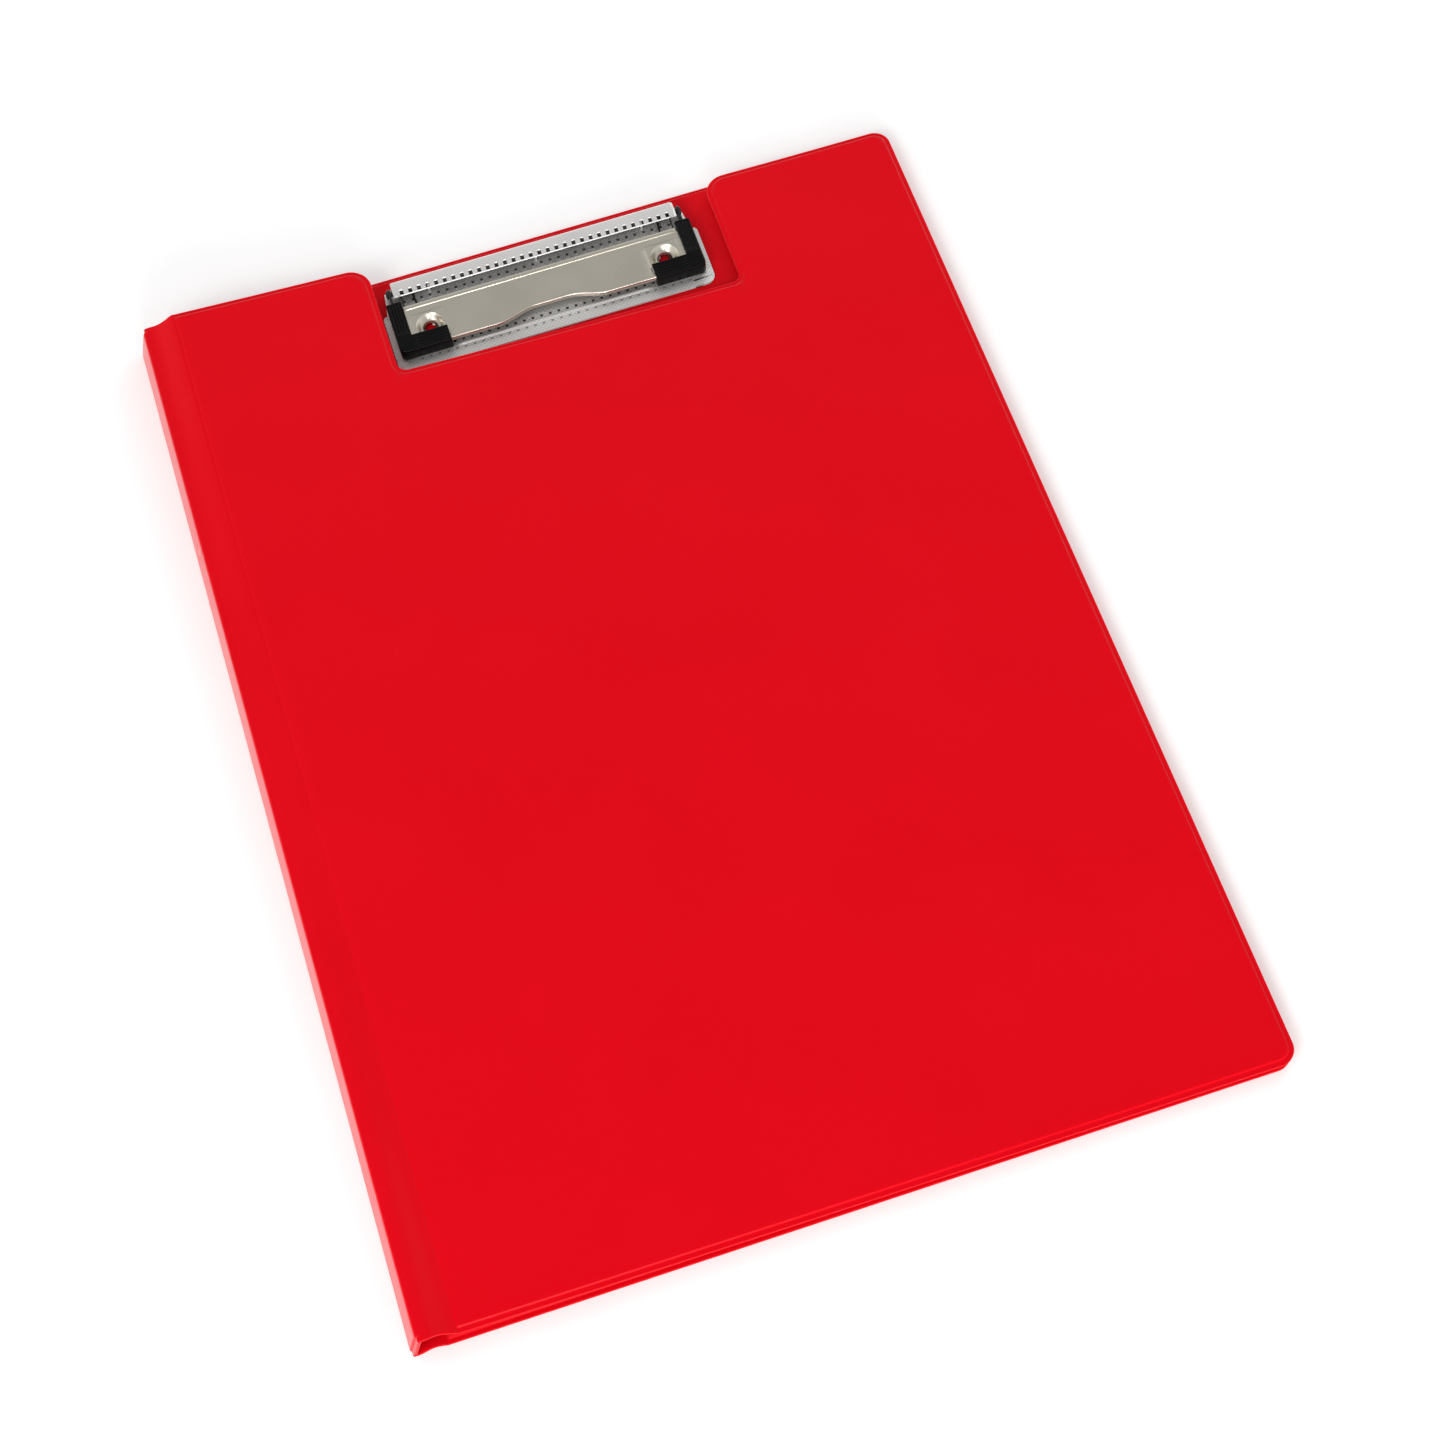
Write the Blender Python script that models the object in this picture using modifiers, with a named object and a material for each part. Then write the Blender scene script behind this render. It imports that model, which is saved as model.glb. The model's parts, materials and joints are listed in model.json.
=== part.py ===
"""Foldover clipboard for A4 sheets: welded film over board, with a low sprung clip.

Frame: +Z up, +Y towards the clip end, the spine along the -X side, origin under the
middle of the back panel. The cover lies closed on the back panel and stands a little
proud along the spine, more so at the clip end.
"""
import math

import bmesh
import bpy
from mathutils import Matrix, Vector

MM = 0.001

# Overall sizes of the closed folder.
WIDTH = 236.4 * MM
LENGTH = 320.0 * MM

# Layers of each panel: film, board, film.
FILM = 0.45 * MM
BOARD = 1.2 * MM
SPINE_BOARD = 1.0 * MM
LAYER_GAP = 0.1 * MM
CORNER_RADIUS = 5.0 * MM
SPINE_CORNER_RADIUS = 1.0 * MM
WELD_MARGIN = 1.6 * MM
BOARD_CLEARANCE = 0.25 * MM
BACK_STEP_IN = 0.6 * MM
HINGE_FLAP = 9.0 * MM
FLAP_STEP = 1.2 * MM

# Spine: a strip that leans in from the foot hinge to the cover hinge.
SPINE_STRIP = 11.0 * MM
SPINE_LEAN = math.radians(75.0)
HINGE_GAP = 0.9 * MM

# How far the cover stands above its flat place at the fold, at each end of the spine.
REST_GAP = 0.3 * MM
LIFT_CLIP_END = 9.8 * MM
LIFT_FOOT_END = 3.4 * MM
SAG_POWER = 1.8

# Notch in the cover round the clip.
NOTCH_WIDTH = 105.8 * MM
NOTCH_DEPTH = 39.6 * MM
NOTCH_SHIFT = 3.0 * MM
NOTCH_MOUTH_RADIUS = 6.5 * MM
NOTCH_INNER_RADIUS = 3.0 * MM

# Clip: base plate.
SHEET = 0.6 * MM
CLIP_SHIFT = 3.2 * MM
CLIP_SETBACK = 5.4 * MM
BASE_WIDTH = 98.9 * MM
BASE_DEPTH = 30.4 * MM
BASE_NECK_WIDTH = 94.1 * MM
BASE_NECK_DEPTH = 8.8 * MM
BASE_FRONT_RADIUS = 3.3 * MM
BASE_REAR_RADIUS = 2.2 * MM
BASE_SHOULDER_RADIUS = 1.5 * MM
HOLE_SIDE = 1.2 * MM
HOLE_PITCH = 2.7 * MM
HOLE_END_MARGIN = 1.2 * MM
GRIP_ROW_FROM_FRONT = 6.0 * MM
BEAD_FROM_FRONT = 4.5 * MM
BEAD_WIDTH = 1.2 * MM
BEAD_HEIGHT = 0.35 * MM

# Clip: hood over the hinge rod, folded from the base plate.
HOOD_WIDTH = 89.0 * MM
HOOD_OVER_SPRING = 0.25 * MM
HOOD_REACH = 5.6 * MM
HOOD_RADIUS = 1.1 * MM
HOOD_LIP_DROP = 0.5 * MM
HOOD_ROW_FROM_LIP = 1.2 * MM
HOOD_ROOT = 1.4 * MM

# Clip: hinge rod, its lugs and the two torsion springs.
ROD_RADIUS = 0.8 * MM
SPRING_TO_HOOD = 0.9 * MM
SPRING_OVER_PLATE = 0.45 * MM
ROD_HEAD_RIM = 0.45 * MM
ROD_HEAD_LENGTH = 0.6 * MM
ROD_CLEARANCE = 0.12 * MM
LUG_WIDTH = 0.8 * MM
LUG_FROM_END = 12.0 * MM
LUG_WALL = 0.55 * MM
SPRING_WIRE_RADIUS = 0.28 * MM
SPRING_TURNS = 5
SPRING_LEG = 9.0 * MM
SPRING_LEG_SPREAD = 0.9 * MM
WIRE_CLEARANCE = 0.14 * MM

# Clip: lever plate.
LEVER_SHEET = 0.6 * MM
LEVER_WIDTH = 92.4 * MM
LEVER_RISE = 3.5 * MM
LEVER_FRONT_OVERLAP = 4.9 * MM
LEVER_DEPTH = 15.6 * MM
RIDGE_HEIGHT = 0.5 * MM
RIDGE_WIDTH = 1.8 * MM
LIP_WIDTH = 1.6 * MM
LIP_DROP = 0.45 * MM
SCALLOP_DEPTH = 2.7 * MM
SCALLOP_HALF = 17.0 * MM
SCALLOP_FLAT = 0.3
DISH_RADIUS = 4.5 * MM
DISH_DEPTH = 1.6 * MM
DISH_ROLL = 0.08 * MM
DISH_HOLE_RADIUS = 2.4 * MM
DISH_FROM_FRONT = 6.8 * MM
DISH_PITCH = 73.4 * MM
EAR_THICKNESS = 0.7 * MM
EAR_WALL = 0.85 * MM
EAR_INSET = 0.3 * MM
EAR_ROOT = 7.0 * MM

# Clip: rivets that hold the base plate to the board.
RIVET_BORE = 1.45 * MM
RIVET_BARREL = 2.2 * MM
RIVET_FLANGE = 3.0 * MM
RIVET_SHEET = 0.25 * MM
RIVET_FROM_FRONT = 12.9 * MM
RIVET_CLEARANCE = 0.2 * MM
WASHER_RADIUS = 4.0 * MM
WASHER_SHEET = 0.3 * MM

# Clip: moulded corners on the lever.
CAP_WIDTH = 95.3 * MM
CAP_SIDE = 4.7 * MM
CAP_SIDE_LENGTH = 18.3 * MM
CAP_FRONT = 5.6 * MM
CAP_FRONT_LENGTH = 15.7 * MM
CAP_WALL = 0.9 * MM
CAP_FRONT_WALL = 1.0 * MM
CAP_CLEARANCE = 0.15 * MM
CAP_FOOT_GAP = 0.2 * MM
CAP_RADIUS = 1.8 * MM
CAP_EDGE = 0.35 * MM
RIB_COUNT = 3
RIB_WIDTH = 0.45 * MM
RIB_DEPTH = 0.25 * MM

ARC_STEPS = 5
ROUND_SIDES = 24

# Places worked out from the sizes above.
LEFT = -WIDTH / 2
RIGHT = WIDTH / 2
NEAR = -LENGTH / 2
FAR = LENGTH / 2
SPINE_HALF = SPINE_BOARD / 2 + LAYER_GAP + FILM
PANEL = 2 * FILM + 2 * LAYER_GAP + BOARD
FLAP = 2 * FILM + LAYER_GAP
FOOT_X = LEFT + SPINE_HALF * math.sin(SPINE_LEAN) - HINGE_GAP * math.cos(SPINE_LEAN)
FOOT_Z = FLAP / 2
TOP_X = FOOT_X + SPINE_STRIP * math.cos(SPINE_LEAN)
TOP_Z = FOOT_Z + SPINE_STRIP * math.sin(SPINE_LEAN)
BACK_START = FOOT_X + HINGE_GAP
BACK_CREASE = BACK_START + HINGE_FLAP
COVER_START = TOP_X + HINGE_GAP
COVER_CREASE = COVER_START + HINGE_FLAP
COVER_REST_Z = PANEL + REST_GAP + PANEL
COVER_FLAP_Z = TOP_Z + FLAP / 2
BASE_LOW = PANEL + LAYER_GAP
BASE_TOP = BASE_LOW + SHEET
BASE_REAR = FAR - CLIP_SETBACK
BASE_FRONT = BASE_REAR - BASE_DEPTH
SPRING_MEAN = ROD_RADIUS + WIRE_CLEARANCE + SPRING_WIRE_RADIUS
SPRING_OUTER = SPRING_MEAN + SPRING_WIRE_RADIUS
ROD_Y = BASE_REAR - SHEET - SPRING_TO_HOOD - SPRING_OUTER
ROD_Z = BASE_TOP + SPRING_OVER_PLATE + SPRING_OUTER
HOOD_TOP = ROD_Z + SPRING_OUTER + HOOD_OVER_SPRING + SHEET
LUG_HALF_DEPTH = ROD_RADIUS + LUG_WALL
EAR_HALF = ROD_RADIUS + EAR_WALL
ROD_HEAD_RADIUS = ROD_RADIUS + ROD_HEAD_RIM
LEVER_TOP = BASE_TOP + LEVER_RISE
LEVER_FRONT = BASE_FRONT + LEVER_FRONT_OVERLAP
LEVER_REAR = LEVER_FRONT + LEVER_DEPTH
EAR_X = LEVER_WIDTH / 2 - EAR_INSET - EAR_THICKNESS / 2
ROD_HALF = EAR_X + EAR_THICKNESS / 2 + ROD_CLEARANCE
DISH_Y = LEVER_FRONT + DISH_FROM_FRONT
RIVET_Y = BASE_FRONT + RIVET_FROM_FRONT
NOTCH_X = CLIP_SHIFT + NOTCH_SHIFT


def clear_scene():
    """Remove every object and any material left from an earlier run."""
    for item in list(bpy.data.objects):
        bpy.data.objects.remove(item, do_unlink=True)
    for item in list(bpy.data.materials):
        bpy.data.materials.remove(item)


def make_collection(name):
    group = bpy.data.collections.new(name)
    bpy.context.scene.collection.children.link(group)
    return group


def make_material(name, colour, roughness, metallic):
    material = bpy.data.materials.new(name)
    material.use_nodes = True
    shader = material.node_tree.nodes["Principled BSDF"]
    shader.inputs["Base Color"].default_value = (*colour, 1.0)
    shader.inputs["Roughness"].default_value = roughness
    shader.inputs["Metallic"].default_value = metallic
    return material


def add_object(name, mesh, group, material=None):
    item = bpy.data.objects.new(name, mesh)
    group.objects.link(item)
    if material is not None:
        mesh.materials.clear()
        mesh.materials.append(material)
    return item


def arc(cx, cy, radius, start, end, steps=ARC_STEPS):
    """Points on an arc from start to end, in degrees, both ends included."""
    angles = [math.radians(start + (end - start) * i / steps) for i in range(steps + 1)]
    return [(cx + radius * math.cos(a), cy + radius * math.sin(a)) for a in angles]


def flat_plate(name, outline, low, high):
    """Mesh of a flat outline in XY, filled and extruded from low to high."""
    curve = bpy.data.curves.new(name + "_outline", "CURVE")
    curve.dimensions = "2D"
    curve.fill_mode = "BOTH"
    curve.extrude = (high - low) / 2
    spline = curve.splines.new("POLY")
    spline.points.add(len(outline) - 1)
    for point, (x, y) in zip(spline.points, outline):
        point.co = (x, y, 0.0, 1.0)
    spline.use_cyclic_u = True
    source = bpy.data.objects.new(name + "_outline", curve)
    source.location.z = (low + high) / 2
    bpy.context.scene.collection.objects.link(source)
    mesh = mesh_from(source)
    mesh.name = name
    return mesh


def mesh_from(source):
    """Mesh of a curve object in world space with its caps welded; the curve is removed."""
    bpy.context.view_layer.update()
    evaluated = source.evaluated_get(bpy.context.evaluated_depsgraph_get())
    mesh = bpy.data.meshes.new_from_object(evaluated)
    mesh.transform(source.matrix_world)
    bpy.data.objects.remove(source, do_unlink=True)
    work = bmesh.new()
    work.from_mesh(mesh)
    bmesh.ops.remove_doubles(work, verts=work.verts, dist=1e-6)
    bmesh.ops.recalc_face_normals(work, faces=work.faces)
    work.to_mesh(mesh)
    work.free()
    return mesh


def side_plate(name, outline, low, high):
    """Mesh of a flat outline in YZ, extruded along X from low to high."""
    mesh = flat_plate(name, outline, low, high)
    turn = Matrix(((0, 0, 1, 0), (1, 0, 0, 0), (0, 1, 0, 0), (0, 0, 0, 1)))
    mesh.transform(turn)
    return mesh


def box_mesh(name, x0, x1, y0, y1, z0, z1):
    mesh = bpy.data.meshes.new(name)
    work = bmesh.new()
    bmesh.ops.create_cube(work, size=1.0)
    size = Vector((x1 - x0, y1 - y0, z1 - z0))
    centre = Vector((x0 + x1, y0 + y1, z0 + z1)) / 2
    for vertex in work.verts:
        vertex.co = Vector(a * b for a, b in zip(vertex.co, size)) + centre
    work.to_mesh(mesh)
    work.free()
    return mesh


def cylinder_mesh(name, radius, low, high, centre, axis="Z", sides=ROUND_SIDES):
    """Closed cylinder along Z or X, from low to high on that axis."""
    mesh = bpy.data.meshes.new(name)
    work = bmesh.new()
    bmesh.ops.create_cone(
        work, cap_ends=True, segments=sides, radius1=radius, radius2=radius, depth=high - low)
    bmesh.ops.translate(work, verts=work.verts, vec=(0.0, 0.0, (low + high) / 2))
    if axis == "X":
        turn = Matrix.Rotation(math.pi / 2, 3, "Y")
        bmesh.ops.rotate(work, verts=work.verts, cent=(0, 0, 0), matrix=turn)
    bmesh.ops.translate(work, verts=work.verts, vec=centre)
    work.to_mesh(mesh)
    work.free()
    return mesh


def merge_meshes(name, meshes):
    """One mesh that holds several separate closed bodies, for a cutter."""
    work = bmesh.new()
    for mesh in meshes:
        work.from_mesh(mesh)
    merged = bpy.data.meshes.new(name)
    work.to_mesh(merged)
    work.free()
    return merged


def add_cutter(name, mesh):
    cutter = add_object(name, mesh, CUTTERS)
    cutter.hide_render = True
    cutter.display_type = "WIRE"
    return cutter


def combine(item, mesh, operation, label):
    """Boolean with a new cutter object made from a mesh."""
    step = item.modifiers.new(label, "BOOLEAN")
    step.operation = operation
    step.solver = "EXACT"
    step.object = add_cutter(item.name + "_" + label, mesh)


def shade(item, degrees=35.0):
    item.data.shade_smooth()
    item.data.set_sharp_from_angle(angle=math.radians(degrees))


def lines(start, end, count):
    return [start + (end - start) * i / count for i in range(count + 1)]


def slab_mesh(name, x_lines, y_lines, face, low, high):
    """Closed slab over a grid: its faces lie at face(x, y) plus low and plus high."""
    mesh = bpy.data.meshes.new(name)
    work = bmesh.new()
    columns = len(x_lines) - 1
    rows = len(y_lines) - 1
    bmesh.ops.create_grid(work, x_segments=columns, y_segments=rows, size=1.0)
    for vertex in work.verts:
        x = x_lines[round((vertex.co.x + 1) / 2 * columns)]
        y = y_lines[round((vertex.co.y + 1) / 2 * rows)]
        vertex.co = (x, y, face(x, y) + low)
    bmesh.ops.triangulate(work, faces=work.faces, quad_method="FIXED")
    grown = bmesh.ops.extrude_face_region(work, geom=list(work.faces))
    moved = [part for part in grown["geom"] if isinstance(part, bmesh.types.BMVert)]
    bmesh.ops.translate(work, verts=moved, vec=(0.0, 0.0, high - low))
    bmesh.ops.recalc_face_normals(work, faces=work.faces)
    work.to_mesh(mesh)
    work.free()
    return mesh


def smooth(value):
    """Ease from 0 to 1 with level ends."""
    value = min(1.0, max(0.0, value))
    return value * value * (3 - 2 * value)


def back_face(x, y):
    """Height of the back panel's outer face."""
    return 0.0


def cover_face(x, y):
    """Height of the cover's outer face: it sags from the fold to the free edge."""
    along = (y - NEAR) / LENGTH
    lift = LIFT_FOOT_END + (LIFT_CLIP_END - LIFT_FOOT_END) * along
    across = max(0.0, min(1.0, (x - COVER_CREASE) / (RIGHT - COVER_CREASE)))
    panel = COVER_REST_Z + lift * (1 - across) ** SAG_POWER
    turn = smooth((x - COVER_START) / HINGE_FLAP)
    return COVER_FLAP_Z + (panel - COVER_FLAP_Z) * turn


def panel_outline(start, end, inset, notch):
    """Outline of a panel with two round corners at its free edge, and the cover's notch.

    The corners at the spine side are nearly square. An inset outline is the board's:
    its sides all lie in from the panel's by the same amount.
    """
    near = NEAR + inset
    far = FAR - inset
    right = end - inset
    radius = CORNER_RADIUS - inset
    small = SPINE_CORNER_RADIUS
    points = arc(start + small, near + small, small, 180, 270, 3)
    points += arc(right - radius, near + radius, radius, -90, 0)
    points += arc(right - radius, far - radius, radius, 0, 90)
    if notch:
        half = NOTCH_WIDTH / 2 + inset
        floor = FAR - NOTCH_DEPTH - inset
        mouth = NOTCH_MOUTH_RADIUS - inset
        inner = NOTCH_INNER_RADIUS + inset
        points += arc(NOTCH_X + half + mouth, far - mouth, mouth, 90, 180)
        points += arc(NOTCH_X + half - inner, floor + inner, inner, 0, -90)
        points += arc(NOTCH_X - half + inner, floor + inner, inner, -90, -180)
        points += arc(NOTCH_X - half - mouth, far - mouth, mouth, 0, 90)
    points += arc(start + small, far - small, small, 90, 180, 3)
    return points


def pocket_outline(start, crease, end, inset, notch):
    """Outline of the board's pocket, left open over the hinge flap."""
    board = panel_outline(crease, end, inset, notch)
    beyond = NEAR - inset
    open_side = start - inset
    corner = len(arc(0, 0, 1, 180, 270, 3))
    points = board[corner:-corner]
    points += [(crease, FAR - inset), (crease, -beyond), (open_side, -beyond)]
    points += [(open_side, beyond), (crease, beyond), (crease, NEAR + inset)]
    return points


def panel_parts(label, start, crease, end, face, up, notch, body_group):
    """Outer film, board and inner film of one panel.

    up is +1 where the layers rise from the outer face, and -1 where they hang from it.
    """
    spare = 4 * MM
    x_lines = lines(start - spare, start, 1)[:-1] + lines(start, crease, 5)[:-1]
    x_lines += lines(crease, end, 9) + [end + spare]
    y_lines = [NEAR - spare] + lines(NEAR, FAR, 7) + [FAR + spare]

    def layer(name, low, high):
        bounds = sorted((up * low, up * high))
        return slab_mesh(name, x_lines, y_lines, face, *bounds)

    tall = 60 * MM
    board_low = FILM + LAYER_GAP
    board_high = board_low + BOARD
    outer = add_object(
        label + "_outer_film", layer(label + "_outer", 0.0, board_high), body_group, RED_FILM)
    outline = panel_outline(start, end, 0.0, notch)
    combine(outer, flat_plate(label, outline, -tall, tall), "INTERSECT", "outline")
    pocket = layer(label + "_pocket", FILM, board_high + spare)
    pocket_item = add_cutter(label + "_pocket", pocket)
    limits = pocket_outline(start, crease, end, WELD_MARGIN, notch)
    combine(pocket_item, flat_plate(label, limits, -tall, tall), "INTERSECT", "limits")
    cut = outer.modifiers.new("pocket", "BOOLEAN")
    cut.operation = "DIFFERENCE"
    cut.solver = "EXACT"
    cut.object = pocket_item

    board = add_object(
        label + "_stiffener", layer(label + "_board", board_low, board_high), body_group, GREYBOARD)
    inset = WELD_MARGIN + BOARD_CLEARANCE
    board_start = crease + BOARD_CLEARANCE
    outline = panel_outline(board_start, end, inset, notch)
    combine(board, flat_plate(label, outline, -tall, tall), "INTERSECT", "outline")

    def inner_face(x, y):
        rise = smooth((x - crease + FLAP_STEP) / FLAP_STEP)
        return face(x, y) + up * rise * (BOARD + LAYER_GAP)

    step_lines = [x for x in x_lines if x < crease - 2 * FLAP_STEP]
    step_lines += lines(crease - FLAP_STEP, crease, 4)
    step_lines += [x for x in x_lines if x > crease + MM / 10]
    bounds = sorted((up * board_low, up * (board_low + FILM)))
    mesh = slab_mesh(label + "_inner", step_lines, y_lines, inner_face, *bounds)
    inner = add_object(label + "_inner_film", mesh, body_group, RED_LINING)
    outline = panel_outline(start, end, 0.0, notch)
    combine(inner, flat_plate(label, outline, -tall, tall), "INTERSECT", "outline")
    return outer, board, inner


def spine_parts():
    """Film, board and film of the spine strip, between the two fold lines."""
    reach = SPINE_STRIP - HINGE_GAP
    board_trim = HINGE_GAP + WELD_MARGIN
    board_half = SPINE_BOARD / 2
    layers = (
        ("spine_inner_film", -SPINE_HALF, -SPINE_HALF + FILM, HINGE_GAP, reach, 0.0, RED_LINING),
        ("spine_stiffener", -board_half, board_half, board_trim, SPINE_STRIP - board_trim,
         WELD_MARGIN, GREYBOARD),
        ("spine_outer_film", SPINE_HALF - FILM, SPINE_HALF, HINGE_GAP, reach, 0.0, RED_FILM),
    )
    lean = Matrix.Rotation(-SPINE_LEAN, 4, "Y")
    place = Matrix.Translation((FOOT_X, 0.0, FOOT_Z)) @ lean
    for name, low, high, start, end, inset, material in layers:
        mesh = box_mesh(name, start, end, NEAR + inset, FAR - inset, low, high)
        item = add_object(name, mesh, FOLDER, material)
        item.matrix_world = place


def base_outline():
    """Base plate seen from above: a wide front part and a narrower neck."""
    half = BASE_WIDTH / 2
    neck = BASE_NECK_WIDTH / 2
    shoulder = BASE_REAR - BASE_NECK_DEPTH
    front = BASE_FRONT_RADIUS
    rear = BASE_REAR_RADIUS
    step = BASE_SHOULDER_RADIUS
    right = arc(half - front, BASE_FRONT + front, front, -90, 0)
    right += arc(half - step, shoulder - step, step, 0, 90, 3)
    right += arc(neck - rear, BASE_REAR - rear, rear, 0, 90, 4)
    left = [(-x, y) for x, y in reversed(right)]
    return [(x + CLIP_SHIFT, y) for x, y in right + left]


def hole_row(name, y, low, high, span):
    """Cutter for a row of square holes centred on the clip."""
    count = int((span - 2 * HOLE_END_MARGIN - HOLE_SIDE) / HOLE_PITCH)
    holes = []
    for index in range(count + 1):
        x = CLIP_SHIFT + (index - count / 2) * HOLE_PITCH
        half = HOLE_SIDE / 2
        holes.append(box_mesh(name, x - half, x + half, y - half, y + half, low, high))
    return merge_meshes(name, holes)


def hood_outline():
    """Section of the hood: up from the plate's rear edge, over, and down to its lip."""
    outer = HOOD_RADIUS + SHEET / 2
    inner = HOOD_RADIUS - SHEET / 2
    top = HOOD_TOP
    lip_y = BASE_REAR - HOOD_REACH
    lip_z = top - HOOD_LIP_DROP
    points = [(BASE_REAR - HOOD_ROOT, BASE_LOW + SHEET / 2), (BASE_REAR, BASE_LOW + SHEET / 2)]
    points += arc(BASE_REAR - outer, top - outer, outer, 0, 90, 4)
    points += [(lip_y, lip_z), (lip_y, lip_z - SHEET)]
    points += arc(BASE_REAR - outer, top - outer, inner, 90, 0, 4)
    points += [(BASE_REAR - SHEET, BASE_TOP), (BASE_REAR - HOOD_ROOT, BASE_TOP)]
    return points


def lug_outline():
    """Section of a lug that is bent up from the plate to carry the rod."""
    low = BASE_LOW + SHEET / 2
    points = [(ROD_Y + LUG_HALF_DEPTH, low)]
    points += arc(ROD_Y, ROD_Z, LUG_HALF_DEPTH, 0, 180, 8)
    points += [(ROD_Y - LUG_HALF_DEPTH, low)]
    return points


def lug_places():
    offset = EAR_X - LUG_FROM_END
    return (CLIP_SHIFT - offset, CLIP_SHIFT, CLIP_SHIFT + offset)


def base_plate():
    """Base plate with its hood, rod lugs, bead, hole rows and rivet holes."""
    half = HOOD_WIDTH / 2
    plate = add_object(
        "clip_base_plate", flat_plate("base", base_outline(), BASE_LOW, BASE_TOP), FOLDER, NICKEL)
    hood = side_plate("hood", hood_outline(), CLIP_SHIFT - half, CLIP_SHIFT + half)
    combine(plate, hood, "UNION", "hood")
    for number, x in enumerate(lug_places()):
        lug = side_plate("lug", lug_outline(), x - LUG_WIDTH / 2, x + LUG_WIDTH / 2)
        combine(plate, lug, "UNION", "lug_%d" % number)
    bead_half = LEVER_WIDTH / 2 - CAP_FRONT_LENGTH - CAP_WALL
    bead_y = BASE_FRONT + BEAD_FROM_FRONT
    middle = BASE_LOW + SHEET / 2
    crown = BASE_TOP + BEAD_HEIGHT
    section = [
        (bead_y - BEAD_WIDTH / 2, middle), (bead_y + BEAD_WIDTH / 2, middle),
        (bead_y + BEAD_WIDTH / 2, BASE_TOP), (bead_y + BEAD_WIDTH / 4, crown),
        (bead_y - BEAD_WIDTH / 4, crown), (bead_y - BEAD_WIDTH / 2, BASE_TOP)]
    bead = side_plate("bead", section, CLIP_SHIFT - bead_half, CLIP_SHIFT + bead_half)
    combine(plate, bead, "UNION", "bead")
    reach = HOOD_WIDTH
    bore = cylinder_mesh(
        "rod_bore", ROD_RADIUS + ROD_CLEARANCE, -reach, reach, (CLIP_SHIFT, ROD_Y, ROD_Z), "X")
    combine(plate, bore, "DIFFERENCE", "rod_bore")
    lip_row = BASE_REAR - HOOD_REACH + HOOD_ROW_FROM_LIP
    top = HOOD_TOP
    row = hole_row("hood_row", lip_row, top - HOOD_LIP_DROP - 2 * SHEET, top + SHEET, HOOD_WIDTH)
    combine(plate, row, "DIFFERENCE", "hood_row")
    grip_y = BASE_FRONT + GRIP_ROW_FROM_FRONT
    row = hole_row("grip_row", grip_y, BASE_LOW - SHEET, BASE_TOP + SHEET, HOOD_WIDTH)
    combine(plate, row, "DIFFERENCE", "grip_row")
    for side, x in rivet_places():
        hole = cylinder_mesh(
            "rivet_hole", RIVET_BARREL + RIVET_CLEARANCE, BASE_LOW - SHEET, BASE_TOP + SHEET,
            (x, RIVET_Y, 0.0))
        combine(plate, hole, "DIFFERENCE", "rivet_hole_" + side)


def rivet_places():
    return (("left", CLIP_SHIFT - DISH_PITCH / 2), ("right", CLIP_SHIFT + DISH_PITCH / 2))


def turned(name, profile, place, material):
    """Turned piece from a profile of (radius, height) points, run down its outer side."""
    mesh = bpy.data.meshes.new(name)
    points = [(radius, 0.0, height) for radius, height in profile]
    count = len(points)
    edges = [(i, (i + 1) % count) for i in range(count)]
    mesh.from_pydata(points, edges, [])
    item = add_object(name, mesh, FOLDER, material)
    screw = item.modifiers.new("turn", "SCREW")
    screw.steps = ROUND_SIDES
    screw.render_steps = ROUND_SIDES
    screw.use_merge_vertices = True
    screw.merge_threshold = 1e-6
    item.location = place
    return item


def rivets():
    """Hollow rivets through plate, lining and board, clinched on washers inside the board."""
    top = BASE_TOP + LAYER_GAP + RIVET_SHEET
    washer_top = FILM + LAYER_GAP + RIVET_SHEET + LAYER_GAP + WASHER_SHEET
    foot = FILM + LAYER_GAP
    for side, x in rivet_places():
        profile = [
            (RIVET_BORE, top), (RIVET_FLANGE, top), (RIVET_FLANGE, top - RIVET_SHEET),
            (RIVET_BARREL, top - RIVET_SHEET), (RIVET_BARREL, foot + RIVET_SHEET),
            (RIVET_FLANGE, foot + RIVET_SHEET), (RIVET_FLANGE, foot), (RIVET_BORE, foot)]
        turned("rivet_" + side, profile, (x, RIVET_Y, 0.0), BRIGHT_STEEL)
        hole = RIVET_BARREL + RIVET_CLEARANCE / 2
        profile = [
            (hole, washer_top), (WASHER_RADIUS, washer_top),
            (WASHER_RADIUS, washer_top - WASHER_SHEET), (hole, washer_top - WASHER_SHEET)]
        turned("rivet_washer_" + side, profile, (x, RIVET_Y, 0.0), BRIGHT_STEEL)


def cut_rivet_holes(board, lining):
    """Holes for the rivets, with a pocket under the board for each washer."""
    washer_top = FILM + LAYER_GAP + RIVET_SHEET + LAYER_GAP + WASHER_SHEET
    for side, x in rivet_places():
        place = (x, RIVET_Y, 0.0)
        radius = RIVET_BARREL + RIVET_CLEARANCE
        hole = cylinder_mesh("hole", radius, 0.0, BASE_TOP, place)
        combine(board, hole, "DIFFERENCE", "rivet_hole_" + side)
        hole = cylinder_mesh("hole", radius, 0.0, BASE_TOP, place)
        combine(lining, hole, "DIFFERENCE", "rivet_hole_" + side)
        pocket = cylinder_mesh(
            "pocket", WASHER_RADIUS + RIVET_CLEARANCE, 0.0, washer_top + LAYER_GAP, place)
        combine(board, pocket, "DIFFERENCE", "washer_pocket_" + side)


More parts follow.
